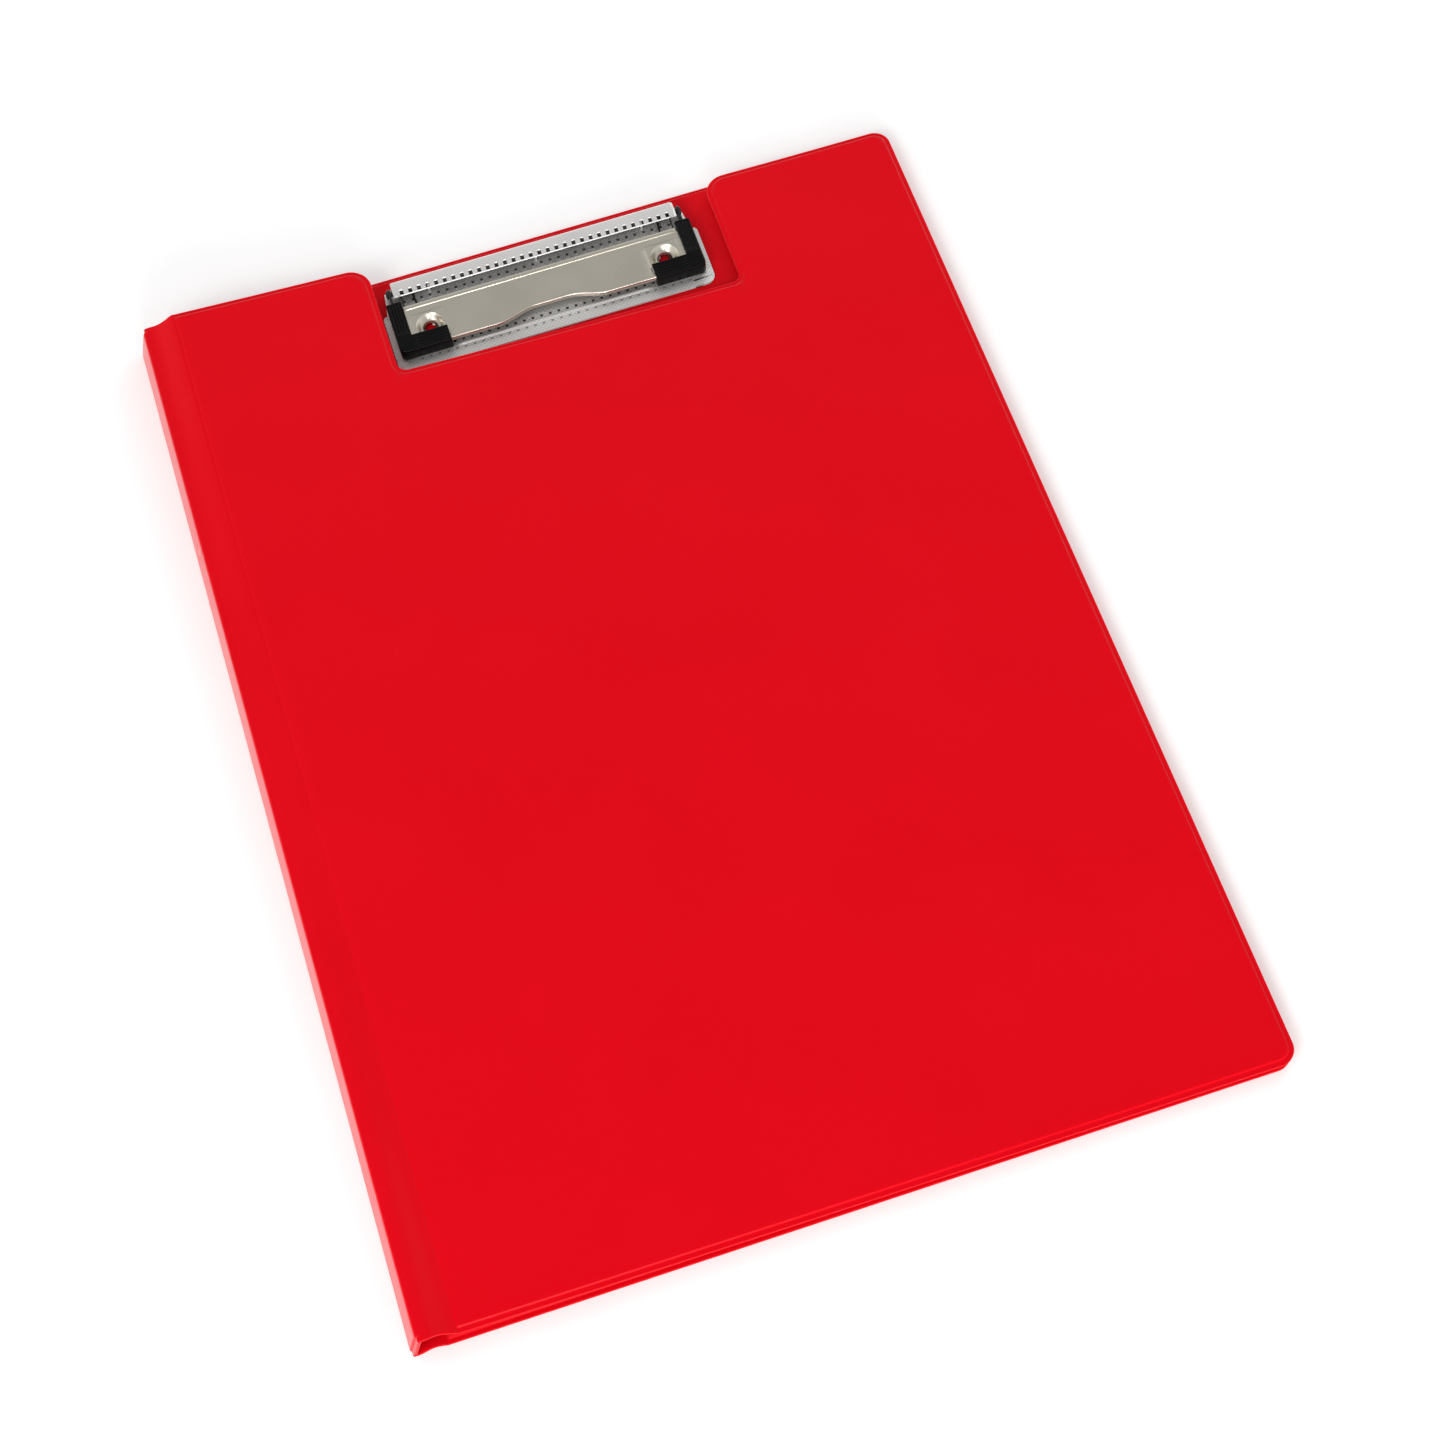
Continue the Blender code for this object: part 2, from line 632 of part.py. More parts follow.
def hinge_rod():
    """Steel rod with a riveted head outside each ear of the lever."""
    centre = (CLIP_SHIFT, ROD_Y, ROD_Z)
    head = ROD_HALF + ROD_HEAD_LENGTH
    mesh = cylinder_mesh("rod", ROD_RADIUS, -ROD_HALF - MM / 5, ROD_HALF + MM / 5, centre, "X", 16)
    rod = add_object("hinge_rod", mesh, FOLDER, DARK_STEEL)
    for label, low, high in (("left", -head, -ROD_HALF), ("right", ROD_HALF, head)):
        end = cylinder_mesh("head", ROD_HEAD_RADIUS, low, high, centre, "X", 16)
        combine(rod, end, "UNION", "head_" + label)
    shade(rod)


def torsion_spring(side, mirror):
    """Wire wound on the rod, with one leg on the plate and one under the lever."""
    coil = SPRING_MEAN
    pitch = 2 * SPRING_WIRE_RADIUS + WIRE_CLEARANCE
    length = pitch * SPRING_TURNS
    end = CAP_WIDTH / 2 - CAP_SIDE - SPRING_WIRE_RADIUS - 2 * WIRE_CLEARANCE
    start = end - length
    low_z = BASE_TOP + SPRING_WIRE_RADIUS + WIRE_CLEARANCE
    high_z = LEVER_TOP - LEVER_SHEET - SPRING_WIRE_RADIUS - WIRE_CLEARANCE
    per_turn = 12
    total = SPRING_TURNS * per_turn
    points = [(start - SPRING_LEG_SPREAD, ROD_Y - coil - SPRING_LEG, low_z)]
    points.append((start - SPRING_LEG_SPREAD / 4, ROD_Y - coil, low_z))
    for step in range(total + 1):
        angle = -math.pi / 2 + 2 * math.pi * step / per_turn
        x = start + length * step / total
        points.append((x, ROD_Y + coil * math.cos(angle), ROD_Z + coil * math.sin(angle)))
    points = points[:-per_turn // 2]
    under = LEVER_TOP - 2 * RIDGE_HEIGHT - SPRING_WIRE_RADIUS - 2 * WIRE_CLEARANCE
    points.append((end, ROD_Y - coil, (ROD_Z + coil + under) / 2))
    points.append((end, LEVER_REAR + MM / 2, under))
    points.append((end, LEVER_REAR - MM, under))
    points.append((end, ROD_Y - coil - SPRING_LEG, high_z))
    curve = bpy.data.curves.new("spring_wire", "CURVE")
    curve.dimensions = "3D"
    curve.bevel_depth = SPRING_WIRE_RADIUS
    curve.bevel_resolution = 1
    curve.use_fill_caps = True
    spline = curve.splines.new("POLY")
    spline.points.add(len(points) - 1)
    for point, (x, y, z) in zip(spline.points, points):
        point.co = (CLIP_SHIFT + mirror * x, y, z, 1.0)
    source = bpy.data.objects.new("spring_wire", curve)
    bpy.context.scene.collection.objects.link(source)
    spring = add_object("torsion_spring_" + side, mesh_from(source), FOLDER, DARK_STEEL)
    shade(spring, 60)


def scallop(x):
    """How far the lever's front edge is drawn back at x, for a finger."""
    across = abs(x) / SCALLOP_HALF
    return SCALLOP_DEPTH * (1 - smooth((across - SCALLOP_FLAT) / (1 - SCALLOP_FLAT)))


def lever_mesh():
    """Lever plate: a rolled ridge at the rear, a flat, and a lip along the shaped front."""
    half = LEVER_WIDTH / 2
    x_lines = [-half] + lines(-SCALLOP_HALF, SCALLOP_HALF, 16) + [half]
    section = [
        (0.0, -RIDGE_HEIGHT * 2), (0.0, 0.0), (RIDGE_WIDTH * 0.25, RIDGE_HEIGHT),
        (RIDGE_WIDTH * 0.65, RIDGE_HEIGHT), (RIDGE_WIDTH, 0.0)]
    lip = [(LIP_WIDTH, 0.0), (LIP_WIDTH / 2, -LIP_DROP / 3), (0.0, -LIP_DROP)]
    rows = len(section) + len(lip)
    mesh = bpy.data.meshes.new("lever")
    work = bmesh.new()
    bmesh.ops.create_grid(work, x_segments=len(x_lines) - 1, y_segments=rows - 1, size=1.0)
    for vertex in work.verts:
        x = x_lines[round((vertex.co.x + 1) / 2 * (len(x_lines) - 1))]
        row = round((1 - vertex.co.y) / 2 * (rows - 1))
        if row < len(section):
            back, rise = section[row]
            vertex.co = (x + CLIP_SHIFT, LEVER_REAR - back, LEVER_TOP + rise)
        else:
            ahead, rise = lip[row - len(section)]
            vertex.co = (x + CLIP_SHIFT, LEVER_FRONT + scallop(x) + ahead, LEVER_TOP + rise)
    work.to_mesh(mesh)
    work.free()
    return mesh


def ear_outline():
    """Section of the lever's ear, from under the plate back to the eye on the rod."""
    under = LEVER_TOP - LEVER_SHEET / 2
    start = LEVER_REAR - EAR_ROOT
    points = arc(ROD_Y, ROD_Z, EAR_HALF, -110, 75, 9)
    points += [(LEVER_REAR - MM, under), (start, under), (start, under - 0.9 * MM)]
    return points


def lever_plate():
    """Lever plate with its ears and two dished holes; its origin is on the rod's axis."""
    lever = add_object("lever_plate", lever_mesh(), FOLDER, NICKEL)
    wall = lever.modifiers.new("wall", "SOLIDIFY")
    wall.thickness = LEVER_SHEET
    wall.offset = -1.0
    for side, sign in (("left", -1), ("right", 1)):
        x = CLIP_SHIFT + sign * EAR_X
        ear = side_plate("ear", ear_outline(), x - EAR_THICKNESS / 2, x + EAR_THICKNESS / 2)
        combine(lever, ear, "UNION", "ear_" + side)
    bore = cylinder_mesh(
        "eye", ROD_RADIUS + ROD_CLEARANCE, -WIDTH / 2, WIDTH / 2, (CLIP_SHIFT, ROD_Y, ROD_Z), "X")
    combine(lever, bore, "DIFFERENCE", "eye")
    for side, x in rivet_places():
        opening = cylinder_mesh(
            "opening", DISH_RADIUS - LEVER_SHEET, LEVER_TOP - 2 * LEVER_SHEET,
            LEVER_TOP + LEVER_SHEET, (x, DISH_Y, 0.0))
        combine(lever, opening, "DIFFERENCE", "opening_" + side)
    for side, x in rivet_places():
        combine(lever, dish_mesh((x, DISH_Y, 0.0)), "UNION", "dish_" + side)
    set_origin(lever, (CLIP_SHIFT, ROD_Y, ROD_Z))


def dish_mesh(place):
    """Pressed dish: a cone ring from the plate's face down to a small hole."""
    low = LEVER_TOP - DISH_DEPTH
    inner = DISH_RADIUS - LEVER_SHEET * 1.4
    profile = [
        (inner, LEVER_TOP + DISH_ROLL), (DISH_RADIUS, LEVER_TOP + DISH_ROLL),
        (DISH_RADIUS, LEVER_TOP - LEVER_SHEET - DISH_ROLL), (DISH_HOLE_RADIUS, low - LEVER_SHEET),
        (DISH_HOLE_RADIUS, low)]
    mesh = bpy.data.meshes.new("dish")
    work = bmesh.new()
    ring = [work.verts.new((radius, 0.0, height)) for radius, height in profile]
    edges = [work.edges.new((ring[i], ring[(i + 1) % len(ring)])) for i in range(len(ring))]
    bmesh.ops.spin(
        work, geom=ring + edges, cent=(0, 0, 0), axis=(0, 0, 1), angle=2 * math.pi,
        steps=ROUND_SIDES, use_merge=True, use_normal_flip=False)
    bmesh.ops.remove_doubles(work, verts=work.verts, dist=1e-6)
    bmesh.ops.recalc_face_normals(work, faces=work.faces)
    bmesh.ops.translate(work, verts=work.verts, vec=place)
    work.to_mesh(mesh)
    work.free()
    return mesh


def set_origin(item, place):
    """Put an object's origin on its joint's axis and keep its shape where it is."""
    item.data.transform(Matrix.Translation(-Vector(place)))
    item.location = place


def cap_outline(sign):
    """L of a moulded corner seen from above; sign is -1 at the left end."""
    half = CAP_WIDTH / 2
    front = LEVER_FRONT - CAP_FRONT_WALL - CAP_CLEARANCE
    points = arc(half - CAP_RADIUS, front + CAP_RADIUS, CAP_RADIUS, -90, 0)
    points += [(half, front + CAP_SIDE_LENGTH), (half - CAP_SIDE, front + CAP_SIDE_LENGTH)]
    points += [(half - CAP_SIDE, front + CAP_FRONT), (half - CAP_FRONT_LENGTH, front + CAP_FRONT)]
    points += [(half - CAP_FRONT_LENGTH, front)]
    return [(CLIP_SHIFT + sign * x, y) for x, y in points]


def cap_ribs(sign, top):
    """Cutter for the grip grooves along both arms of a moulded corner."""
    half = CAP_WIDTH / 2
    front = LEVER_FRONT - CAP_FRONT_WALL - CAP_CLEARANCE
    grooves = []
    margin = CAP_EDGE + RIB_WIDTH
    for number in range(RIB_COUNT):
        across = margin + (CAP_SIDE - 2 * margin) * number / (RIB_COUNT - 1)
        centre = CLIP_SHIFT + sign * (half - across)
        y0 = front + CAP_FRONT + margin
        y1 = front + CAP_SIDE_LENGTH - margin
        grooves.append(box_mesh(
            "groove", centre - RIB_WIDTH / 2, centre + RIB_WIDTH / 2, y0, y1, top - RIB_DEPTH, top + MM))
        across = margin + (CAP_FRONT - 2 * margin) * number / (RIB_COUNT - 1)
        centre = front + across
        ends = sorted((
            CLIP_SHIFT + sign * (half - CAP_SIDE - margin),
            CLIP_SHIFT + sign * (half - CAP_FRONT_LENGTH + margin)))
        grooves.append(box_mesh(
            "groove", ends[0], ends[1], centre - RIB_WIDTH / 2, centre + RIB_WIDTH / 2,
            top - RIB_DEPTH, top + MM))
    return merge_meshes("grooves", grooves)


def corner_cap(side, sign):
    """Moulded corner: an L block slotted over the lever's corner, with a foot under it."""
    top = LEVER_TOP + CAP_CLEARANCE + CAP_WALL
    low = BASE_TOP + CAP_FOOT_GAP
    cap = add_object(
        "corner_cap_" + side, flat_plate("cap", cap_outline(sign), low, top), FOLDER, BLACK_PLASTIC)
    edge = cap.modifiers.new("edge", "BEVEL")
    edge.width = CAP_EDGE
    edge.segments = 2
    edge.limit_method = "ANGLE"
    combine(cap, cap_ribs(sign, top), "DIFFERENCE", "grooves")
    slot_top = LEVER_TOP + CAP_CLEARANCE
    slot_low = LEVER_TOP - LEVER_SHEET - LIP_DROP - CAP_CLEARANCE
    front = LEVER_FRONT - CAP_CLEARANCE
    relief = cylinder_mesh(
        "relief", DISH_RADIUS + 2 * CAP_CLEARANCE, low - MM, slot_top - CAP_CLEARANCE / 3,
        (CLIP_SHIFT + sign * DISH_PITCH / 2, DISH_Y, 0.0))
    combine(cap, relief, "DIFFERENCE", "dish_relief")
    beyond = front + 2 * CAP_SIDE_LENGTH
    outside = CLIP_SHIFT + sign * (LEVER_WIDTH / 2 + CAP_CLEARANCE)
    inside = CLIP_SHIFT + sign * (LEVER_WIDTH / 2 - 2 * CAP_FRONT_LENGTH)
    x0, x1 = sorted((outside, inside))
    slot = box_mesh("slot", x0, x1, front, beyond, slot_low, slot_top)
    combine(cap, slot, "DIFFERENCE", "slot")
    ear_out = CLIP_SHIFT + sign * (EAR_X + EAR_THICKNESS / 2 + 2 * CAP_CLEARANCE)
    ear_in = CLIP_SHIFT + sign * (EAR_X - EAR_THICKNESS / 2 - 2 * CAP_CLEARANCE)
    x0, x1 = sorted((ear_out, ear_in))
    ear_start = LEVER_REAR - EAR_ROOT - CAP_CLEARANCE
    slot = box_mesh("ear_slot", x0, x1, ear_start, beyond, low - MM, slot_top - CAP_CLEARANCE / 2)
    combine(cap, slot, "DIFFERENCE", "ear_slot")
    ridge = LEVER_REAR - RIDGE_WIDTH - CAP_CLEARANCE
    x0, x1 = sorted((outside - sign * CAP_CLEARANCE / 3, inside))
    slot = box_mesh(
        "ridge_slot", x0, x1, ridge, LEVER_REAR + CAP_CLEARANCE,
        LEVER_TOP - 2 * RIDGE_HEIGHT - LEVER_SHEET - CAP_CLEARANCE,
        LEVER_TOP + RIDGE_HEIGHT + CAP_CLEARANCE)
    combine(cap, slot, "DIFFERENCE", "ridge_slot")
    set_origin(cap, (CLIP_SHIFT, ROD_Y, ROD_Z))


clear_scene()
FOLDER = make_collection("foldover_clipboard")
CUTTERS = make_collection("cutters")
RED_FILM = make_material("red_film", (0.77, 0.006, 0.012), 0.38, 0.0)
RED_LINING = make_material("red_lining", (0.70, 0.006, 0.012), 0.45, 0.0)
GREYBOARD = make_material("greyboard", (0.33, 0.30, 0.26), 0.9, 0.0)
NICKEL = make_material("nickel_plate", (0.62, 0.60, 0.56), 0.28, 1.0)
BRIGHT_STEEL = make_material("bright_steel", (0.72, 0.71, 0.69), 0.2, 1.0)
DARK_STEEL = make_material("dark_steel", (0.12, 0.12, 0.12), 0.4, 1.0)
BLACK_PLASTIC = make_material("black_plastic", (0.01, 0.01, 0.012), 0.35, 0.0)

back = panel_parts(
    "back", BACK_START, BACK_CREASE, RIGHT - BACK_STEP_IN, back_face, 1, False, FOLDER)
cut_rivet_holes(back[1], back[2])
spine_parts()
panel_parts("cover", COVER_START, COVER_CREASE, RIGHT, cover_face, -1, True, FOLDER)
base_plate()
rivets()
hinge_rod()
torsion_spring("left", -1)
torsion_spring("right", 1)
lever_plate()
corner_cap("left", -1)
corner_cap("right", 1)
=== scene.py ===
import json
import math

import bmesh
import bpy
import numpy as np
from mathutils import Matrix, Vector


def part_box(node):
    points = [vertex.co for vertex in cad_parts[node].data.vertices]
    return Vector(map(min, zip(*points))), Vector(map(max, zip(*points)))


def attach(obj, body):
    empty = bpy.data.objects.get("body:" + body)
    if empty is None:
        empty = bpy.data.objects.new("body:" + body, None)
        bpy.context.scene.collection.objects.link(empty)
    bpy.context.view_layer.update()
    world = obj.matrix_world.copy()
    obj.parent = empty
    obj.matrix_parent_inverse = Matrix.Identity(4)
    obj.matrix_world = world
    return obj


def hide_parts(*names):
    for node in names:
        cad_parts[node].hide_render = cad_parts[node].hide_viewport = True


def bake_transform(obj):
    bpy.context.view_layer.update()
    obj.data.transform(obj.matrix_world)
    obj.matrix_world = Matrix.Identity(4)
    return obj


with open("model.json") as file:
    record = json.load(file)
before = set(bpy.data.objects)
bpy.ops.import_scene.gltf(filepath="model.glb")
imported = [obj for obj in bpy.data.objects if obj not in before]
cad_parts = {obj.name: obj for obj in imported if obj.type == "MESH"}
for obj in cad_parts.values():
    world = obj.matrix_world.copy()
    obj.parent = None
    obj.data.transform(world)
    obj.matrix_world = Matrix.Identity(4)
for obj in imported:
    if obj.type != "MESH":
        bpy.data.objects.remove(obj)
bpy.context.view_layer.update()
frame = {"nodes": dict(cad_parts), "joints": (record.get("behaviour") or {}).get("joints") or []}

# Camera: it stands beyond the foot end, a little to the spine side, looks down on the
# folder and is turned slightly on its own axis, so the clip end leans to the left.
MM = 0.001
LENS = 67.31
AIM = Vector((8.80, -16.78, 0.0)) * MM
DISTANCE = 747.2 * MM
AZIMUTH = math.radians(-11.81)
ELEVATION = math.radians(62.78)
ROLL = math.radians(-6.736)

camera_data = bpy.data.cameras.new("camera")
camera_data.lens = LENS
camera_data.sensor_width = 36.0
camera_data.clip_start = 0.01
camera = bpy.data.objects.new("camera", camera_data)
bpy.context.scene.collection.objects.link(camera)
towards_camera = Vector((
    math.sin(AZIMUTH) * math.cos(ELEVATION),
    -math.cos(AZIMUTH) * math.cos(ELEVATION),
    math.sin(ELEVATION)))
turn = (-towards_camera).to_track_quat("-Z", "Y").to_matrix().to_4x4()
camera.matrix_world = (
    Matrix.Translation(AIM + towards_camera * DISTANCE) @ turn @ Matrix.Rotation(ROLL, 4, "Z"))
bpy.context.scene.camera = camera


# Floor and light: a plain white sweep under a pale studio sky, one large soft light from
# the spine side and weaker ones low at the foot end and from the far side.
FLOOR_SIZE = 6000.0
FLOOR_GAP = 0.05
FLOOR_GLOW = 0.15
SKY_TOP = (0.50, 0.50, 0.50, 1.0)
SKY_EDGE = (1.1, 1.1, 1.1, 1.0)


def node(tree, kind, inputs=(), **settings):
    """A shader node; each input is a value, or the socket of another node to link from."""
    made = tree.nodes.new(kind)
    for key, value in settings.items():
        setattr(made, key, value)
    for key, value in dict(inputs).items():
        if isinstance(value, bpy.types.NodeSocket):
            tree.links.new(value, made.inputs[key])
        else:
            made.inputs[key].default_value = value
    return made


def start_material(name, roughness, metallic=0.0, specular=0.5):
    """A material with a Principled shader; returns the material, its tree and the shader."""
    material = bpy.data.materials.new(name)
    material.use_nodes = True
    shader = material.node_tree.nodes["Principled BSDF"]
    shader.inputs["Roughness"].default_value = roughness
    shader.inputs["Metallic"].default_value = metallic
    shader.inputs["Specular IOR Level"].default_value = specular
    return material, material.node_tree, shader


def shader_group(name, inputs, outputs):
    """An empty shader node group with named number inputs and outputs."""
    group = bpy.data.node_groups.new(name, "ShaderNodeTree")
    for label, value in inputs:
        socket = group.interface.new_socket(label, in_out="INPUT", socket_type="NodeSocketFloat")
        socket.default_value = value
    for label in outputs:
        group.interface.new_socket(label, in_out="OUTPUT", socket_type="NodeSocketFloat")
    return group, node(group, "NodeGroupInput"), node(group, "NodeGroupOutput")


def place_group(tree, group, values):
    """A node group placed in a material with that material's own values."""
    placed = node(tree, "ShaderNodeGroup", node_tree=group)
    for label, value in values.items():
        placed.inputs[label].default_value = value
    return placed


# Fine uneven spots, for fibres, wear and polish: one group for every plain material.
spots, given, result = shader_group(
    "uneven_spots", (("Spots per metre", 500.0), ("Detail", 3.0)), ("Spots",))
where = node(spots, "ShaderNodeTexCoord").outputs["Object"]
noise = node(spots, "ShaderNodeTexNoise", {
    "Vector": where, "Scale": given.outputs["Spots per metre"], "Detail": given.outputs["Detail"]})
spots.links.new(noise.outputs["Fac"], result.inputs["Spots"])


def place_spots(tree, per_metre, detail):
    """Output socket of the uneven spots, at this fineness."""
    return place_group(tree, spots, {"Spots per metre": per_metre, "Detail": detail}).outputs["Spots"]


def tint(tree, shader, mask, dark, light):
    """Base colour that goes from dark to light as the mask goes from 0 to 1."""
    tone = node(tree, "ShaderNodeMixRGB", {
        "Fac": mask, "Color1": (*dark, 1.0), "Color2": (*light, 1.0)})
    tree.links.new(tone.outputs["Color"], shader.inputs["Base Color"])


def soft_light(name, place, size, watts):
    """A square area light at a place in metres, turned to the folder's middle."""
    data = bpy.data.lights.new(name, "AREA")
    data.energy = watts
    data.size = size
    item = bpy.data.objects.new(name, data)
    item.location = place
    item.rotation_euler = (-Vector(place)).to_track_quat("-Z", "Y").to_euler()
    bpy.context.scene.collection.objects.link(item)


floor_material, tree, shader = start_material("floor_paper", 0.9, specular=0.1)
tint(tree, shader, place_spots(tree, 40.0, 2.0), (0.96, 0.96, 0.96), (1.0, 1.0, 1.0))
shader.inputs["Emission Color"].default_value = (1.0, 1.0, 1.0, 1.0)
shader.inputs["Emission Strength"].default_value = FLOOR_GLOW
floor_mesh = bpy.data.meshes.new("floor")
half_floor = FLOOR_SIZE / 2 * MM
floor_mesh.from_pydata(
    [(-half_floor, -half_floor, -FLOOR_GAP * MM), (half_floor, -half_floor, -FLOOR_GAP * MM),
     (half_floor, half_floor, -FLOOR_GAP * MM), (-half_floor, half_floor, -FLOOR_GAP * MM)],
    [], [(0, 1, 2, 3)])
floor_mesh.materials.append(floor_material)
floor = bpy.data.objects.new("floor", floor_mesh)
bpy.context.scene.collection.objects.link(floor)

world = bpy.data.worlds.new("studio_sky")
world.use_nodes = True
bpy.context.scene.world = world
sky = world.node_tree
where = node(sky, "ShaderNodeTexCoord")
height = node(sky, "ShaderNodeSeparateXYZ", {"Vector": where.outputs["Generated"]})
fade = node(sky, "ShaderNodeMapRange", {
    "Value": height.outputs["Z"], "From Min": 0.05, "From Max": 0.75})
shade = node(sky, "ShaderNodeMixRGB", {
    "Fac": fade.outputs["Result"], "Color1": SKY_EDGE, "Color2": SKY_TOP})
sky.links.new(shade.outputs["Color"], sky.nodes["Background"].inputs["Color"])
soft_light("key_light", (-1.0, -0.9, 1.15), size=0.7, watts=10.5)
soft_light("front_light", (-0.2, -1.5, 0.45), size=0.6, watts=9.0)
soft_light("back_light", (1.1, 0.8, 1.0), size=0.7, watts=2.5)
bpy.context.scene.view_settings.view_transform = "Standard"


# Cover skin: coloured PVC film over the cover's board, welded to the lining round the edge and
# along a line beside the fold. It runs on over the fold and half way down the spine.
FILM = 0.45
LAYER_GAP = 0.1
BOARD = 1.2
HINGE_GAP = 0.9
FLAP_WIDTH = 9.0
WELD_DROP = 0.50
WELD_INNER = 1.20
WELD_OUTER = 1.80
PANEL_RADIUS = 5.0
NOTCH_WIDTH = 105.8
NOTCH_DEPTH = 39.6
NOTCH_SHIFT = 3.0
MOUTH_RADIUS = 6.5
NOTCH_RADIUS = 3.0
CREASE_STEP = 1.2
CREASE_DEPTH = 0.16
CREASE_BACK = 0.6
CREASE_WIDTH = 0.45
FLAP_DIP = 0.6
CREASE_REACH = 1.8
CORNER_PRESS = 0.12
PRESS_RADIUS = 0.5
PRESS_ACROSS = 0.6
PRESS_ALONG = 2.2
FREE_EDGE_HEIGHT = 4.9
LIFT_CLIP_END = 9.8
LIFT_FOOT_END = 3.4
SAG_POWER = 1.8
TUCK_SLACK = 0.08
SPINE_OFFSET = 0.825
SPINE_RISE = 1.4
FOLD_OFFSET = 0.8
FOLD_PULL = 0.62
WELD_OFFSET = 0.25
SPINE_COLUMNS = 7
FOLD_STEPS = 8
FLAP_STEP = 0.9
CREASE_FINE = 0.14
COLUMN_STEP = 5.0
ROW_STEP = 8.0
ROW_MARGIN = 14.0
NOTCH_ROW_MARGIN = 9.0
MOUTH_ROW_MARGIN = 13.0
HOLE_CELLS = 8
HOLE_CLEAR = 1.0
SAME = 1e-3
RIM = np.array([0, 0.03, 0.1, 0.22, 0.5, 0.85, 1.2, 1.35, 1.5, 1.65, 1.8, 2.0, 2.5, 4.5])

joint_place = {j["name"]: np.array(j["pos_m"]) / MM for j in frame["joints"]}
foot = joint_place["spine_fold"][[0, 2]]
top = joint_place["cover_fold"][[0, 2]]
strip = float(np.linalg.norm(top - foot))
strip_along = (top - foot) / strip
strip_out = np.array([-strip_along[1], strip_along[0]])


def box_of(name):
    """Lowest and highest corner of a CAD node's box, in millimetres."""
    return [np.array(corner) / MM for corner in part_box(name)]


cover_box = box_of("cover_outer_film")
back_box = box_of("back_outer_film")
clip_x = float(joint_place["clip_lift"][0])
near, far = float(cover_box[0][1]), float(cover_box[1][1])
notch_x = clip_x + NOTCH_SHIFT
notch_half = NOTCH_WIDTH / 2
notch_floor = far - NOTCH_DEPTH


def ease(value):
    """Rises from 0 to 1 with level ends: three times the square less twice the cube."""
    value = np.clip(value, 0.0, 1.0)
    return value * value * (3 - 2 * value)


def spread(low, high, step):
    """Even values from low to high, both included, no further apart than step."""
    return np.linspace(low, high, max(1, math.ceil(abs(high - low) / step)) + 1)


def in_from_edge(radius):
    """Offsets in from an edge: the rim's own, and those of a round corner of this radius."""
    corner = radius * (1 - np.cos(np.radians(np.arange(0, 91, 9))))
    values = np.unique(np.concatenate((RIM, corner)).round(2))
    keep = np.concatenate(([True], np.diff(values) > 0.025))
    return values[keep]


def bow(x, limit, radius):
    """How far a round corner draws an edge in at x: radius less the circle's height there."""
    past = np.clip(x - (limit - radius), 0.0, radius)
    return radius - np.sqrt(radius ** 2 - past ** 2)


def flap_dip(x, crease):
    """How far the soft flap's end draws in between the fold and the board."""
    across = (x - (crease - FLAP_WIDTH / 2)) / (FLAP_WIDTH / 2)
    return FLAP_DIP * np.clip(1 - across ** 2, 0.0, 1.0) ** 2


def rim_distance(x, y, right, crease, notch):
    """Distance in from a panel's outline, with round corners as distances from their centres."""
    qx = x - (right - PANEL_RADIUS)
    qy = np.abs(y) - (far - PANEL_RADIUS)
    outside = np.hypot(np.maximum(qx, 0), np.maximum(qy, 0))
    distance = PANEL_RADIUS - outside - np.minimum(np.maximum(qx, qy), 0)
    distance = np.minimum(distance, far - flap_dip(x, crease) - np.abs(y))
    if notch:
        aside = np.abs(x - notch_x)
        qx = aside - notch_half + NOTCH_RADIUS
        qy = notch_floor + NOTCH_RADIUS - y
        wall = np.hypot(np.maximum(qx, 0), np.maximum(qy, 0)) + np.minimum(np.maximum(qx, qy), 0)
        distance = np.minimum(distance, wall - NOTCH_RADIUS)
        mx = notch_half + MOUTH_RADIUS - aside
        my = y - (far - MOUTH_RADIUS)
        mouth = (mx > 0) & (my > 0)
        distance = np.where(mouth, MOUTH_RADIUS - np.hypot(mx, my), distance)
    return np.maximum(distance, 0.0)


def cover_face(x, y, start, crease, right):
    """Height of the cover's outer face: a level fold, a rise over the flap, then a long sag."""
    along = (y - near) / (far - near)
    lift = LIFT_FOOT_END + (LIFT_CLIP_END - LIFT_FOOT_END) * along
    across = np.clip((x - crease) / (right - crease), 0.0, 1.0)
    flap = top[1] + FILM + LAYER_GAP / 2
    panel = FREE_EDGE_HEIGHT + lift * (1 - across) ** SAG_POWER
    return flap + (panel - flap) * ease((x - start) / FLAP_WIDTH)


def back_face(x, y, start, crease, right):
    """Height of the back's outer face, which lies on the table."""
    return np.zeros_like(x * y)


def bend(start, start_way, end, end_way, pull, steps):
    """Cubic curve from start to end, pulled along each end's direction; ends included."""
    t = np.linspace(0, 1, steps + 1)[:, None]
    a = start + pull * start_way
    b = end - pull * end_way
    return start * (1 - t) ** 3 + 3 * a * t * (1 - t) ** 2 + 3 * b * t * t * (1 - t) + end * t ** 3


def rounded_half(distance):
    """Half the film's thickness, run out in a quarter circle at distance 0 from its edge."""
    return FILM / 2 * np.sqrt(1 - (1 - np.clip(distance / (FILM / 2), 0, 1)) ** 2)


def past_weld(distance):
    """0 on the weld round the edge, 1 where the film lies over the board."""
    return ease((distance - WELD_INNER) / (WELD_OUTER - WELD_INNER))


